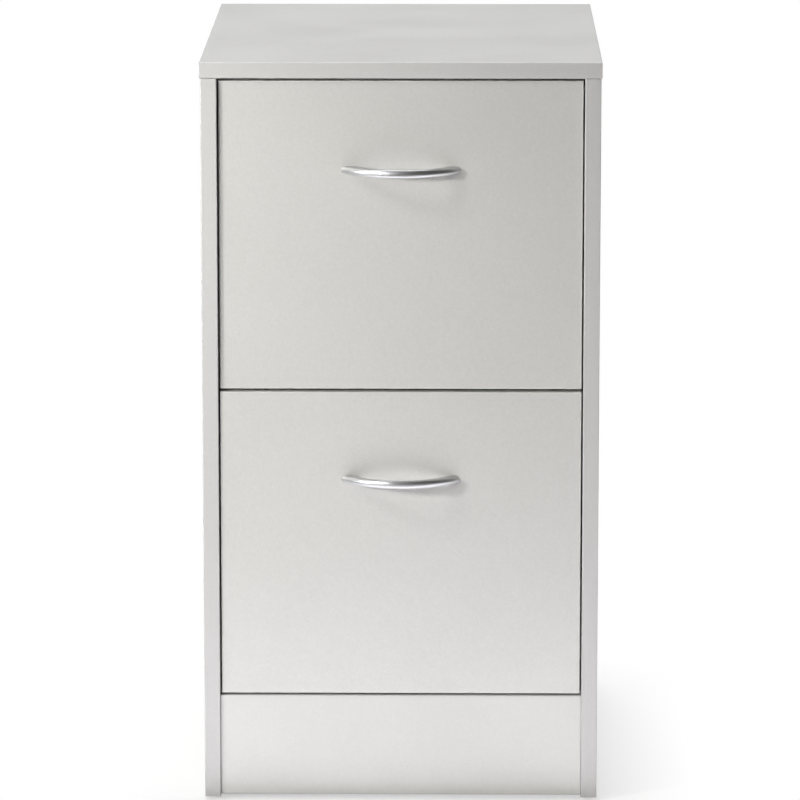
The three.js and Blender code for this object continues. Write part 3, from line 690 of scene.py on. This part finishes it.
# %% [markdown]
# ## Cams, glides, bolts and dowels
#
# A cam is a die-cast drum that a quarter turn of the screwdriver tightens on the head of its bolt; only
# its face with the cross slot shows. The drum is turned and the slot is cut. The bolts and dowels are
# inside the boards, so they keep their solids and only get a finish.


# %% Cam fittings
CAM_SLOT_WIDTH, CAM_SLOT_DEPTH = 1.5 * MM, 1.8 * MM


def cam_skin(centre, face, inward, axis, radius, depth):
    """A drum with a raised rim and a shallow dish: circles whose radius and depth follow the profile."""
    steps = [(0.35, 0.35), (0.80, 0.35), (0.84, 0.05), (0.94, 0.0), (1.0, 0.4), (1.0, depth / MM)]
    pairs = [(radius * share, face + inward * deep * MM) for share, deep in steps]
    return turned(pairs, axis, centre, 40)


def cross_cutters(centre, face, inward, axis, arm, width, depth):
    """Two crossed blocks that cut a screwdriver slot into a face."""
    cutters = []
    for a, b in ((arm, width / 2), (width / 2, arm)):
        start, end = sorted((face - inward * OVERRUN, face + inward * depth))
        low = spread(axis, start, centre[0] - a, centre[1] - b)
        high = spread(axis, end, centre[0] + a, centre[1] + b)
        cutters.append(slab(low, high, axis, 0.1 * MM, HAIR, 1))
    return cutters


def cam_piece(name, node, axis, face, inward):
    """A cam in the place of its solid, its slotted face where the solid's is."""
    centre, radius = round_about(node, axis)
    depth = span(node, axis)[1] - span(node, axis)[0]
    skins = [cam_skin(centre, face, inward, axis, radius, depth)]
    slots = cross_cutters(centre, face, inward, axis, radius * 0.62, CAM_SLOT_WIDTH, CAM_SLOT_DEPTH)
    piece(name, skins, plated, "carcass", "zinc_hardware", [node], slots)


for joint in FITTING_CORNERS:
    sign = -1 if joint.endswith("left") else 1
    face = min(span(f"cam_top_{joint}", "x"), key=abs)
    cam_piece(f"side_cam_{joint}", f"cam_top_{joint}", "x", face, sign)
for side, _ in SIDES:
    cam_piece(f"bottom_cam_{side}", f"cam_bottom_{side}", "z", span(f"cam_bottom_{side}", "z")[0], 1)
print("cams:", len(FITTING_CORNERS) + 2)

# %% Glides and hidden fittings
board_foot = span("left_side_panel", "z")[0] - CLEAR
PIN = 1.0 * MM
for joint in FITTING_CORNERS:
    node = f"glide_{joint}"
    centre, radius = round_about(node, "z")
    pin_tip = span(node, "z")[1]
    pairs = [
        (radius * 0.30, 0.35 * MM), (radius * 0.72, 0.2 * MM), (radius * 0.86, 0),
        (radius - 0.5 * MM, 0.12 * MM), (radius - 0.12 * MM, 0.5 * MM), (radius, 1.1 * MM),
        (radius, board_foot - 0.3 * MM), (radius - 0.3 * MM, board_foot),
        (PIN, board_foot), (PIN, pin_tip - 1.5 * MM), (0.1 * MM, pin_tip),
    ]
    skins = [turned(pairs, "z", centre)]
    piece(f"floor_glide_{joint}", skins, brown_plastic, "carcass", "glide_plastic", [node])

for name, solid in frame["nodes"].items():
    for kind, finish in (("bolt_", plated), ("plinth_dowel", beech)):
        if name.startswith(kind):
            solid.data.materials.clear()
            solid.data.materials.append(finish)
print("glides: 4, bolts and dowels keep their solids")

# %% [markdown]
# ## Roller runners
#
# A roller runner is two pressed profiles: one screwed to the cabinet, with a roller at its front, and
# one under the drawer, with a roller at its rear. The profiles are steel 1.2 mm thick, bent round a tool,
# so their outlines have round bends inside and out. The rollers are nylon and turn on riveted axles.

# %% Lanes of the runners
SHEET = 1.2 * MM
INNER_BEND = 0.5 * MM
OUTER_BEND = INNER_BEND + SHEET
EDGE = 0.35 * MM
LIP, CAP = 10.7 * MM, 9.0 * MM  # how far the lower and the upper flange reach from the side panel
AXLE, BOSS, RIVET = 2.2 * MM, 4.0 * MM, 3.6 * MM  # radii
ROOT = 0.7 * MM  # an axle starts this far inside the web
SLACK = 0.8 * MM  # left free between a roller and its stop
REAR_STOP = 12 * MM  # how far it stands above the run
TRAVEL_STOP_LENGTH, TRAVEL_STOP_HEIGHT = 3 * MM, 8 * MM
TRAVEL = frame["joints"][0]["range_m"][1]
MOUTH = 45 * MM  # length of the opening in the upper flange, where the drawer's roller goes in
FIXED_SCREWS_AT = (60 * MM, 225 * MM, 400 * MM)
MOVING_SCREWS_AT = (35 * MM, 225 * MM, 400 * MM)
FIXED_SCREW_SIZE = (3.6 * MM, 12 * MM)  # radius of the head, length
MOVING_SCREW_SIZE = (2.6 * MM, 9 * MM)
# Shares of the head's radius, and heights in mm.
PAN_HEAD = ((0.12, 1.75), (0.5, 1.6), (0.8, 1.25), (0.97, 0.6), (1.0, 0.25))


def from_side(sign, distance):
    """X of a point that lies a distance in from the inner face of a side panel."""
    return sign * (SIDE_INNER_X - distance)


def screw_skins(centre, face, inward, axis, radius, length):
    """A pan-head screw: a domed head that stands out of a face, and a plain shank behind it."""
    dome = [(radius * share, -height * MM) for share, height in PAN_HEAD]
    shank = [(radius, 0.0), (radius * 0.5, 0.0), (radius * 0.5, length - 1 * MM), (0.1 * MM, length)]
    pairs = [(r, face + inward * d) for r, d in dome + shank]
    return [turned(pairs, axis, centre, 28)]


print("runner sheet:", SHEET / MM, "mm, drawer travel:", TRAVEL / MM, "mm")


# %% The fixed profile
def cabinet_runner(drawer, side, sign):
    """The fixed member: a C outline with round bends, its axle and rivet, a rear stop and a travel stop."""
    node = f"{drawer}_cabinet_runner_{side}"
    low, high = corners(node)
    web = abs(abs(low[0] if sign < 0 else high[0]) - SIDE_INNER_X)
    run, top = low[2] + SHEET, high[2]
    x = lambda d: from_side(sign, d)
    outline = [
        (x(web), low[2]), (x(LIP), low[2]), (x(LIP), run), (x(web + SHEET), run),
        (x(web + SHEET), top - SHEET), (x(CAP), top - SHEET), (x(CAP), top), (x(web), top),
    ]
    bends = [OUTER_BEND, EDGE, EDGE, INNER_BEND, INNER_BEND, EDGE, EDGE, OUTER_BEND]
    roller = middle(f"{drawer}_front_roller_{side}")[1:]
    lane = span(f"{drawer}_front_roller_{side}", "x")
    near, far = sorted(SIDE_INNER_X - abs(np.array(lane)))
    rear_roller = middle(f"{drawer}_rear_roller_{side}")[1]
    reach = (span(f"{drawer}_rear_roller_{side}", "z")[1] - run) / 2
    stop = rear_roller - TRAVEL - reach - SLACK
    skins = [
        profile(eased(outline, bends), "y", low[1], high[1]),
        rod(AXLE, x(web + ROOT), x(far + 1.0 * MM), "x", roller),
        rod(BOSS, x(web + ROOT), x(near - CLEAR), "x", roller, 0.2 * MM),
        rod(RIVET, x(far + CLEAR), x(far + 1.2 * MM), "x", roller, 0.5 * MM),
        slab(
            (x(web + 0.5 * MM), high[1] - SHEET, run - 0.5 * MM), (x(CAP), high[1], run + REAR_STOP),
            "y", 1.0 * MM, EDGE,
        ),
        slab(
            (x(web + ROOT), stop - TRAVEL_STOP_LENGTH, roller[1] - TRAVEL_STOP_HEIGHT / 2),
            (x(2.1 * MM), stop, roller[1] + TRAVEL_STOP_HEIGHT / 2),
            "x", 0.5 * MM, 0.1 * MM,
        ),
    ]
    mouth_low = (x(web + SHEET), low[1] - OVERRUN, top - SHEET - SLACK)
    mouth_high = (x(CAP + OVERRUN), low[1] + MOUTH, top + OVERRUN)
    cutters = [cutting_block(mouth_low, mouth_high, "y")]
    screws = []
    for distance in FIXED_SCREWS_AT:
        centre = (low[1] + distance, roller[1])
        cutters.append(rod(2.2 * MM, x(-OVERRUN), x(web + SHEET + 1 * MM), "x", centre, 0.0))
        screws += screw_skins(centre, x(web + SHEET), sign, "x", *FIXED_SCREW_SIZE)
    piece(f"{drawer}_fixed_runner_{side}", skins[:1], epoxy, "carcass", "runner_epoxy", [node], cutters)
    piece(f"{drawer}_fixed_runner_fittings_{side}", skins[1:], plated, "carcass", "zinc_hardware")
    piece(f"{drawer}_runner_screws_{side}", screws, plated, "carcass", "zinc_hardware")


for drawer in DRAWERS:
    for side, sign in SIDES:
        cabinet_runner(drawer, side, sign)
print("fixed runners:", len(DRAWERS) * len(SIDES))

# %% [markdown]
# The moving member is screwed under the box side. Its upper flange lies on the fixed member's front
# roller, and its own rear roller runs inside the fixed member, so it is a Z where the other is a C.


# %% The moving profile
def drawer_runner(drawer, side, sign):
    """The moving member: a lip under the box side, a web, and a flange that rides on the front roller."""
    node = f"{drawer}_drawer_runner_{side}"
    low, high = corners(node)
    box_side = abs(np.array(span(f"{drawer}_box_side_{side}", "x")))
    outer, inner = SIDE_INNER_X - box_side.max(), SIDE_INNER_X - box_side.min()
    web = outer - CLEAR - SHEET
    roller = middle(f"{drawer}_rear_roller_{side}")[1:]
    near, far = sorted(SIDE_INNER_X - abs(np.array(span(f"{drawer}_rear_roller_{side}", "x"))))
    x = lambda d: from_side(sign, d)
    flange = span(f"{drawer}_front_roller_{side}", "z")[1] + CLEAR
    outline = [
        (x(web), low[2]), (x(inner), low[2]), (x(inner), low[2] + SHEET),
        (x(web + SHEET), low[2] + SHEET), (x(web + SHEET), flange + SHEET),
        (x(3 * MM), flange + SHEET), (x(3 * MM), flange), (x(web), flange),
    ]
    bends = [OUTER_BEND, EDGE, EDGE, INNER_BEND, OUTER_BEND, EDGE, EDGE, INNER_BEND]
    piece(
        f"{drawer}_moving_runner_{side}", [profile(eased(outline, bends), "y", low[1], high[1])], epoxy,
        f"{drawer}_drawer", "runner_epoxy", [node],
    )
    skins = [
        rod(AXLE, x(web + ROOT), x(near - 0.5 * MM), "x", roller),
        rod(BOSS, x(web + ROOT), x(far + CLEAR), "x", roller, 0.2 * MM),
        rod(RIVET, x(near - CLEAR), x(1.8 * MM), "x", roller, 0.3 * MM),
    ]
    for distance in MOVING_SCREWS_AT:
        centre = (low[1] + distance, low[2] + 9 * MM)
        skins += screw_skins(centre, x(web - 0.05 * MM), -sign, "x", *MOVING_SCREW_SIZE)
    piece(f"{drawer}_moving_runner_fittings_{side}", skins, plated, f"{drawer}_drawer", "zinc_hardware")


for drawer in DRAWERS:
    for side, sign in SIDES:
        drawer_runner(drawer, side, sign)
print("moving runners:", len(DRAWERS) * len(SIDES))

# %% [markdown]
# A roller is moulded nylon with a dished outer face, a flat tread and small rounds at its rims. The closed
# outline of half its section, bore included, is turned round the axle; a plain cylinder would show
# neither the dish nor the rims.

# %% Rollers
# In mm: radius, and distance from the outer face.
ROLLER_RADIUS, ROLLER_WIDTH = 10.7, 7
ROLLER_BORE = [(2.8, 7), (2.5, 6.7), (2.5, 0.3), (2.8, 0)]
ROLLER_DISH = [(4.4, 0), (4.6, 0.2), (4.8, 1.3), (8.2, 1.3), (8.5, 0.2), (8.7, 0)]
ROLLER_TREAD = [
    (9.9, 0), (10.35, 0.12), (10.62, 0.5), (10.7, 1), (10.7, 6), (10.62, 6.5), (10.35, 6.88), (9.9, 7),
]


def roller_piece(drawer, which, side, sign):
    """A nylon roller: a closed profile turned round its axle. The dish and the tread are stretched to the
    solid's radius and width, and the bore keeps its own radius."""
    node = f"{drawer}_{which}_roller_{side}"
    x_low, x_high = span(node, "x")
    centre, radius = round_about(node, "x")
    width = x_high - x_low
    face, inward = (x_high, -1) if sign < 0 else (x_low, 1)
    bore = [(r * MM, a) for r, a in ROLLER_BORE]
    outside = [(r / ROLLER_RADIUS * radius, a) for r, a in ROLLER_DISH + ROLLER_TREAD]
    pairs = [(r, face + inward * a / ROLLER_WIDTH * width) for r, a in bore[2:] + outside + bore[:2]]
    piece(
        f"{drawer}_{which}_wheel_{side}", [turned(pairs, "x", centre, 56, True)], nylon,
        f"{drawer}_{which}_roller_{side}_body", "roller_nylon", [node], sharp=50,
    )


for drawer in DRAWERS:
    for side, sign in SIDES:
        for which in ("front", "rear"):
            roller_piece(drawer, which, side, sign)
print("rollers:", 2 * len(DRAWERS) * len(SIDES))

# %% [markdown]
# ## Drawer fronts and boxes
#
# Each front is a board banded on its four edges. The box behind it is 12 mm board wrapped in a pale
# foil, with a lacquered hardboard bottom in a groove, and two cams in each side that pull it to the front.


# %% Drawer fronts
FRONT_BORE = 2.5 * MM


def drawer_front(drawer):
    """A front: its core with the groove for the bottom and the bores for the handle's screws, and bands."""
    node, body = f"{drawer}_drawer_front", f"{drawer}_drawer"
    low, high = corners(node)
    board = core(low, high, ["-x", "+x", "-z", "+z"], "y")
    sheet_low, sheet_high = corners(f"{drawer}_box_bottom")
    groove_high = (sheet_high[0] + CLEAR, high[1] + OVERRUN, sheet_high[2] + CLEAR)
    cutters = [cutting_block(sheet_low - CLEAR, groove_high, "x")]
    for side, _ in SIDES:
        bore = middle(f"{drawer}_handle_screw_{side}")
        cutters.append(rod(FRONT_BORE, low[1] - OVERRUN, high[1] + OVERRUN, "y", (bore[0], bore[2]), 0.0))
    piece(f"{drawer}_front_board", [board], pearl, body, "silver_melamine", [node], cutters)
    short_low, short_high = low + (BAND, 0, 0), high - (BAND, 0, 0)
    strips = [strip(low, high, edge, "z") for edge in ("-x", "+x")]
    strips += [strip(short_low, short_high, edge, "x") for edge in ("-z", "+z")]
    # The fronts' bands take the paler finish, whose extra lightness is partly painted highlight along their
    # edges.
    piece(f"{drawer}_front_edge_bands", strips, pale_band_and_highlight, body, "silver_melamine")
    print(drawer, "front:", [round(v / MM, 1) for v in high - low], "mm")


for drawer in DRAWERS:
    drawer_front(drawer)

# %% [markdown]
# Hanging files need a rail along each side of the box. It is an extruded plastic profile that sits over
# the box side, with a rib for the files' hooks, so one outline is carried straight along it.


# %% File rails
def rail_piece(drawer, side, sign):
    """The plastic profile over a box side: two legs, a web and the rib for the file hooks, eased."""
    node = f"{drawer}_file_rail_{side}"
    low, high = corners(node)
    top = span(f"{drawer}_box_side_{side}", "z")[1]
    wall, web = 1.0 * MM, (top + 0.3 * MM, top + 1.8 * MM)
    x0, x1 = low[0], high[0]
    rib = ((x0 + x1) / 2 - 1 * MM, (x0 + x1) / 2 + 1 * MM)
    outline = [
        (x0, low[2]), (x0 + wall, low[2]), (x0 + wall, web[0]), (x1 - wall, web[0]),
        (x1 - wall, low[2]), (x1, low[2]), (x1, web[1]), (rib[1], web[1]),
        (rib[1], high[2]), (rib[0], high[2]), (rib[0], web[1]), (x0, web[1]),
    ]
    bends = np.array([0.3, 0.3, 0.3, 0.3, 0.3, 0.3, 0.8, 0.4, 0.8, 0.8, 0.4, 0.8]) * MM
    skins = [profile(eased(outline, bends), "y", low[1], high[1])]
    piece(
        f"{drawer}_hanging_rail_{side}", skins, grey_plastic, f"{drawer}_drawer", "rail_plastic", [node]
    )


for drawer in DRAWERS:
    for side, sign in SIDES:
        rail_piece(drawer, side, sign)
print("rails:", len(DRAWERS) * len(SIDES))

# %% [markdown]
# The box is two sides, a back and a thin bottom, and the drawer's front closes it. Each board is one eased
# block. The groove for the bottom is cut along the sides, and the cams' bores near their front ends.

# %% Drawer boxes
CAM_SETBACK = 24 * MM
CAM_HEIGHTS = (48 * MM, 205 * MM)
CAM_RADIUS, CAM_DEPTH = 6.0 * MM, 9.0 * MM
CAM_PROUD = 0.15 * MM
BOX_CAM_SLOT = (3.6 * MM, 1.3 * MM, 1.6 * MM)  # arm, width, depth
FOIL_ROUND = 0.5 * MM


def drawer_box(drawer):
    """Sides, back and bottom of a box, and its cams."""
    body = f"{drawer}_drawer"
    sheet_low, sheet_high = corners(f"{drawer}_box_bottom")
    for side, sign in SIDES:
        node = f"{drawer}_box_side_{side}"
        low, high = corners(node)
        face = low[0] if sign > 0 else high[0]
        inside = face - sign * OVERRUN
        groove = cutting_block(
            (inside, low[1] - OVERRUN, sheet_low[2] - CLEAR),
            (sign * (sheet_high[0] + CLEAR), high[1] + OVERRUN, sheet_high[2] + CLEAR), "y",
        )
        cams = [(low[1] + CAM_SETBACK, low[2] + lift) for lift in CAM_HEIGHTS]
        bore_end = face + sign * (CAM_DEPTH + 0.2 * MM)
        bores = [rod(CAM_RADIUS + CLEAR, inside, bore_end, "x", c, 0.0, 36) for c in cams]
        board = piece(
            f"{drawer}_box_board_{side}", [slab(low, high, "x", FOIL_ROUND, FOIL_ROUND)], drawer_grey,
            body, "drawer_box_melamine", [node], [groove] + bores,
        )
        face_finish(board, sawn, "y", high[1])
        skins = [cam_skin(c, face - sign * CAM_PROUD, sign, "x", CAM_RADIUS, CAM_DEPTH) for c in cams]
        slots = [k for c in cams for k in cross_cutters(c, face, sign, "x", *BOX_CAM_SLOT)]
        piece(f"{drawer}_box_cams_{side}", skins, plated, body, "zinc_hardware", cutters=slots)
    low, high = corners(f"{drawer}_box_back")
    piece(
        f"{drawer}_box_back_board", [slab(low, high, "y", FOIL_ROUND, FOIL_ROUND)], drawer_grey, body,
        "drawer_box_melamine", [f"{drawer}_box_back"],
    )
    sheet = piece(
        f"{drawer}_box_sheet", [thin_sheet(sheet_low, sheet_high, "z")], hardboard, body, "hardboard",
        [f"{drawer}_box_bottom"],
    )
    face_finish(sheet, lacquered, "z", sheet_high[2])


for drawer in DRAWERS:
    drawer_box(drawer)

# %% [markdown]
# ## Bow handles
#
# The handle is a cast bow: two arcs seen from above, the outer one through its tips, the inner one
# springing from the feet. A soft oval section swells from one arc to the other, so the bow is thin in its
# middle and flows into broad feet. A loft of such sections is one smooth skin; a bent pipe would
# have the same thickness everywhere and would miss the feet.


# %% The bow
INNER_CHORD = 86 * MM  # between the feet's inner edges
WAIST = 6 * MM  # the bow's thickness in its middle, seen from above
ROUNDNESS = 2.25  # 2 is an ellipse, and more is squarer
BOW_BORE = 2.3 * MM
BOW_SCREW_HEAD = 4.0 * MM
BOW_SCREW_SLOT = (2.2 * MM, 0.9 * MM, 1.0 * MM)  # arm, width, depth


def arc(chord, rise):
    """Radius, height of the centre and half-angle of the circle through a chord's ends and its rise."""
    radius = chord**2 / (8 * rise) + rise / 2
    return radius, rise - radius, np.arcsin(chord / 2 / radius)


def bow_skin(low, high):
    """A loft along the bow, within the corners of its solid. At u from -1 to 1 the section's centre is half
    way between the outer arc's point (R sin ut, c + R cos ut) and the inner arc's, and its half-width is
    half their distance. Round the section the point is centre + half-width * C + half-height * S, with C
    and S the cosine and the sine to the power 2 / ROUNDNESS, their signs kept: a soft oval."""
    length, rise, height = high - low
    u = np.sin(np.linspace(-pi / 2, pi / 2, 97))[:, None]
    v = np.linspace(0, 2 * pi, 56, endpoint=False)[None, :]
    points = []
    for chord, top in ((length, rise), (INNER_CHORD, rise - WAIST)):
        radius, centre, half = arc(chord, top)
        points.append(np.stack([radius * np.sin(u * half), centre + radius * np.cos(u * half)], -1))
    outer, inner = points
    across = (outer - inner) / 2
    round_cos = np.sign(np.cos(v)) * np.abs(np.cos(v)) ** (2 / ROUNDNESS)
    round_sin = np.sign(np.sin(v)) * np.abs(np.sin(v)) ** (2 / ROUNDNESS)
    flat = (outer + inner) / 2 + across * round_cos[..., None]
    x = (low[0] + high[0]) / 2 + flat[..., 0]
    y = high[1] - np.maximum(flat[..., 1], 0)
    z = (low[2] + high[2]) / 2 + height / 2 * round_sin
    return skin(np.stack(np.broadcast_arrays(x, y, z), -1))


def handle(drawer):
    """The bow, bored from behind for its screws, and the two pan-head screws inside the drawer."""
    node, body = f"{drawer}_handle", f"{drawer}_drawer"
    low, high = corners(node)
    screws = [f"{drawer}_handle_screw_{side}" for side, _ in SIDES]
    bores = []
    for screw in screws:
        tip = span(screw, "y")[0]
        bores.append(rod(BOW_BORE, tip - 1 * MM, high[1] + OVERRUN, "y", middle(screw)[[0, 2]], 0.0, 24))
    piece(f"{drawer}_bow", [bow_skin(low, high)], satin, body, "satin_handle", [node], bores, sharp=55)
    board_back = span(f"{drawer}_drawer_front", "y")[1] + CLEAR
    for (side, _), screw in zip(SIDES, screws):
        at = middle(screw)[[0, 2]]
        skins = screw_skins(at, board_back, -1, "y", BOW_SCREW_HEAD, board_back - span(screw, "y")[0])
        head_top = board_back + PAN_HEAD[0][1] * MM
        slots = cross_cutters(at, head_top, -1, "y", *BOW_SCREW_SLOT)
        piece(f"{drawer}_bow_screw_{side}", skins, plated, body, "zinc_hardware", [screw], slots)


for drawer in DRAWERS:
    handle(drawer)

# %% [markdown]
# ## Studio
#
# The cabinet stands on a wide pale floor that fades to plain white, so there is no horizon. The floor is
# matt and pale near the cabinet, where it catches the soft shadow and throws light back up. The camera
# sees plain white from a hand's width outside the cabinet's foot on.

# %% Floor
FLOOR_RADIUS = 30.0
GREY_FROM, GREY_BY = 1.0, 3.0  # the paper darkens between these distances from the middle
HALO = 0.10  # how far outside the cabinet's foot its shadow is seen


def floor_disc(radius, rings=48, around=96):
    """A flat disc: circles whose radii grow as the square of an even step, closed at the middle."""
    reach = radius * np.linspace(0.004, 1, rings)[:, None] ** 2
    angle = np.linspace(0, 2 * pi, around, endpoint=False)[None, :]
    points = np.stack([reach * np.cos(angle), reach * np.sin(angle), np.zeros((rings, around))], -1)
    vertices, faces = skin(points)
    return vertices, [face[::-1] for face in faces[:-1]]


floor_mesh = bpy.data.meshes.new("studio_floor")
points, faces = floor_disc(FLOOR_RADIUS)
floor_mesh.from_pydata(points.tolist(), [], faces)
floor = bpy.data.objects.new("studio_floor", floor_mesh)
bpy.context.scene.collection.objects.link(floor)

paper = bpy.data.materials.new("studio_paper")
paper.use_nodes = True
tree = paper.node_tree
matt = tree.nodes["Principled BSDF"]
centre_way = put(tree, "ShaderNodeVectorMath", {0: place_of(tree)}, operation="LENGTH")
darker = ranged(tree, centre_way.outputs["Value"], GREY_FROM, GREY_BY, 0.0, 1.0)
tone = put(tree, "ShaderNodeMix", {"Factor": darker}, data_type="RGBA")
tone.inputs["A"].default_value = (0.86, 0.86, 0.86, 1)
tone.inputs["B"].default_value = (0.16, 0.16, 0.16, 1)
tree.links.new(tone.outputs["Result"], matt.inputs["Base Color"])
matt.inputs["Roughness"].default_value = 0.9
matt.inputs["Specular IOR Level"].default_value = 0.2
folded = put(tree, "ShaderNodeVectorMath", {0: place_of(tree)}, operation="ABSOLUTE")
quarter = (cad_high.x, cad_high.y, 0)
past = put(tree, "ShaderNodeVectorMath", {0: folded.outputs[0], 1: quarter}, operation="SUBTRACT")
outside = put(tree, "ShaderNodeVectorMath", {0: past.outputs[0], 1: (0, 0, 0)}, operation="MAXIMUM")
away = put(tree, "ShaderNodeVectorMath", {0: outside.outputs[0]}, operation="LENGTH")
seen = put(tree, "ShaderNodeLightPath").outputs["Is Camera Ray"]
fade = math_of(tree, "MULTIPLY", ranged(tree, away.outputs["Value"], 0.0, HALO, 0.55, 1.0), seen)
white = put(tree, "ShaderNodeEmission", {"Color": (1, 1, 1, 1), "Strength": 1.0})
both = put(tree, "ShaderNodeMixShader", {0: fade, 1: matt.outputs[0], 2: white.outputs[0]})
tree.links.new(both.outputs[0], tree.nodes["Material Output"].inputs["Surface"])
floor_mesh.materials.append(paper)
print("floor:", len(faces), "faces")

# %% [markdown]
# ## Light
#
# Two narrow-beamed boxes on the left aim at the front's left corner, so the light falls off to the right
# and each handle throws a short shadow that way. A wide overhead box fills the top, a weak one from the
# upper left adds the handles' faint lower shadows, and two large fills that leave no reflection lift the
# right side and the back. The floor glow stands for the light that a lit paper floor throws up the front:
# the lower a patch of the front is, the brighter it gets.


# %% Lights
def soft_box(name, place, aim, width, height, power, colour=(1, 1, 1)):
    """A rectangular light at a place, turned to face a point."""
    data = bpy.data.lights.new(name, "AREA")
    data.shape, data.size, data.size_y = "RECTANGLE", width, height
    data.energy, data.color = power, colour
    lamp = bpy.data.objects.new(name, data)
    lamp.location = place
    lamp.rotation_euler = (Vector(aim) - Vector(place)).to_track_quat("-Z", "Y").to_euler()
    lamp.visible_camera = False
    bpy.context.scene.collection.objects.link(lamp)
    return lamp


LEFT_CORNER = (-0.24, SIDE_FRONT_Y, 0.64)
WARM = (1, 0.995, 0.965)
key = soft_box("key_left", (-1.25, SIDE_FRONT_Y - 1.65, 0.98), LEFT_CORNER, 0.32, 0.32, 1.9, WARM)
key.data.spread = radians(54)
low_key = soft_box("low_key", (-1.85, SIDE_FRONT_Y - 1.30, 0.94), LEFT_CORNER, 0.15, 0.15, 4.0, WARM)
low_key.data.spread = radians(66)
soft_box("overhead", (-0.1, 0.6, 2.6), (0, 0.2, 0.5), 1.8, 1.8, 46, (0.95, 0.96, 1.0))
soft_box("upper_left", (-1.5, -1.3, 2.2), (0, SIDE_FRONT_Y, 0.5), 0.4, 0.4, 17, (1, 0.988, 0.95))
for name, place, power in (("right_fill", (2.4, 0.9, 1.1), 36), ("rear_fill", (-0.5, 2.8, 1.1), 38)):
    fill = soft_box(name, place, (0, 0.1, 0.4), 1.4, 1.4, power)
    fill.visible_glossy = False
GLOW_X, GLOW_Y = 0.17, SIDE_FRONT_Y - 0.33
soft_box("floor_glow", (GLOW_X, GLOW_Y, 0.003), (GLOW_X, GLOW_Y, 1), 1.3, 0.6, 2.5, (0.93, 0.90, 1.0))

world = bpy.data.worlds.new("studio")
bpy.context.scene.world = world
world.use_nodes = True
tree = world.node_tree
tree.nodes.clear()
around = put(tree, "ShaderNodeTexCoord").outputs["Generated"]
ways = put(tree, "ShaderNodeSeparateXYZ", {"Vector": around})
toward_left = ranged(tree, ways.outputs["X"], -0.8, 0.6, 1.0, 0.0)
dim = put(tree, "ShaderNodeMix", {"Factor": toward_left}, data_type="RGBA")
dim.inputs["A"].default_value = (0.085, 0.080, 0.070, 1)
dim.inputs["B"].default_value = (0.22, 0.22, 0.22, 1)
seen = put(tree, "ShaderNodeLightPath").outputs["Is Camera Ray"]
plain = put(tree, "ShaderNodeMix", {"Factor": seen, "A": dim.outputs["Result"]}, data_type="RGBA")
plain.inputs["B"].default_value = (1, 1, 1, 1)
sky = put(tree, "ShaderNodeBackground", {"Color": plain.outputs["Result"], "Strength": 1.0})
tree.links.new(sky.outputs[0], put(tree, "ShaderNodeOutputWorld").inputs["Surface"])

# %% [markdown]
# ## Camera
#
# A long lens from some five metres away, a little above the top of the cabinet and looking slightly
# down, so the two fronts are square-on and a narrow band of the top shows.

# %% Camera
BACK_OFF = 5.1124
EYE_HEIGHT = 1.4095
EYE_ASIDE = 0.0555
PITCH_DOWN = 11.012
TURN_LEFT = 0.63
LENS, SENSOR = 233.75, 36
camera_data = bpy.data.cameras.new("camera")
camera_data.lens, camera_data.sensor_width = LENS, SENSOR
camera_data.clip_start, camera_data.clip_end = 0.1, 100
camera = bpy.data.objects.new("camera", camera_data)
camera.location = (EYE_ASIDE, SIDE_FRONT_Y - BACK_OFF, EYE_HEIGHT)
camera.rotation_euler = (radians(90 - PITCH_DOWN), 0, radians(TURN_LEFT))
bpy.context.scene.collection.objects.link(camera)
bpy.context.scene.camera = camera
bpy.context.scene.view_settings.view_transform = "Standard"
print("camera:", [round(v, 3) for v in camera.location], "lens", camera_data.lens)
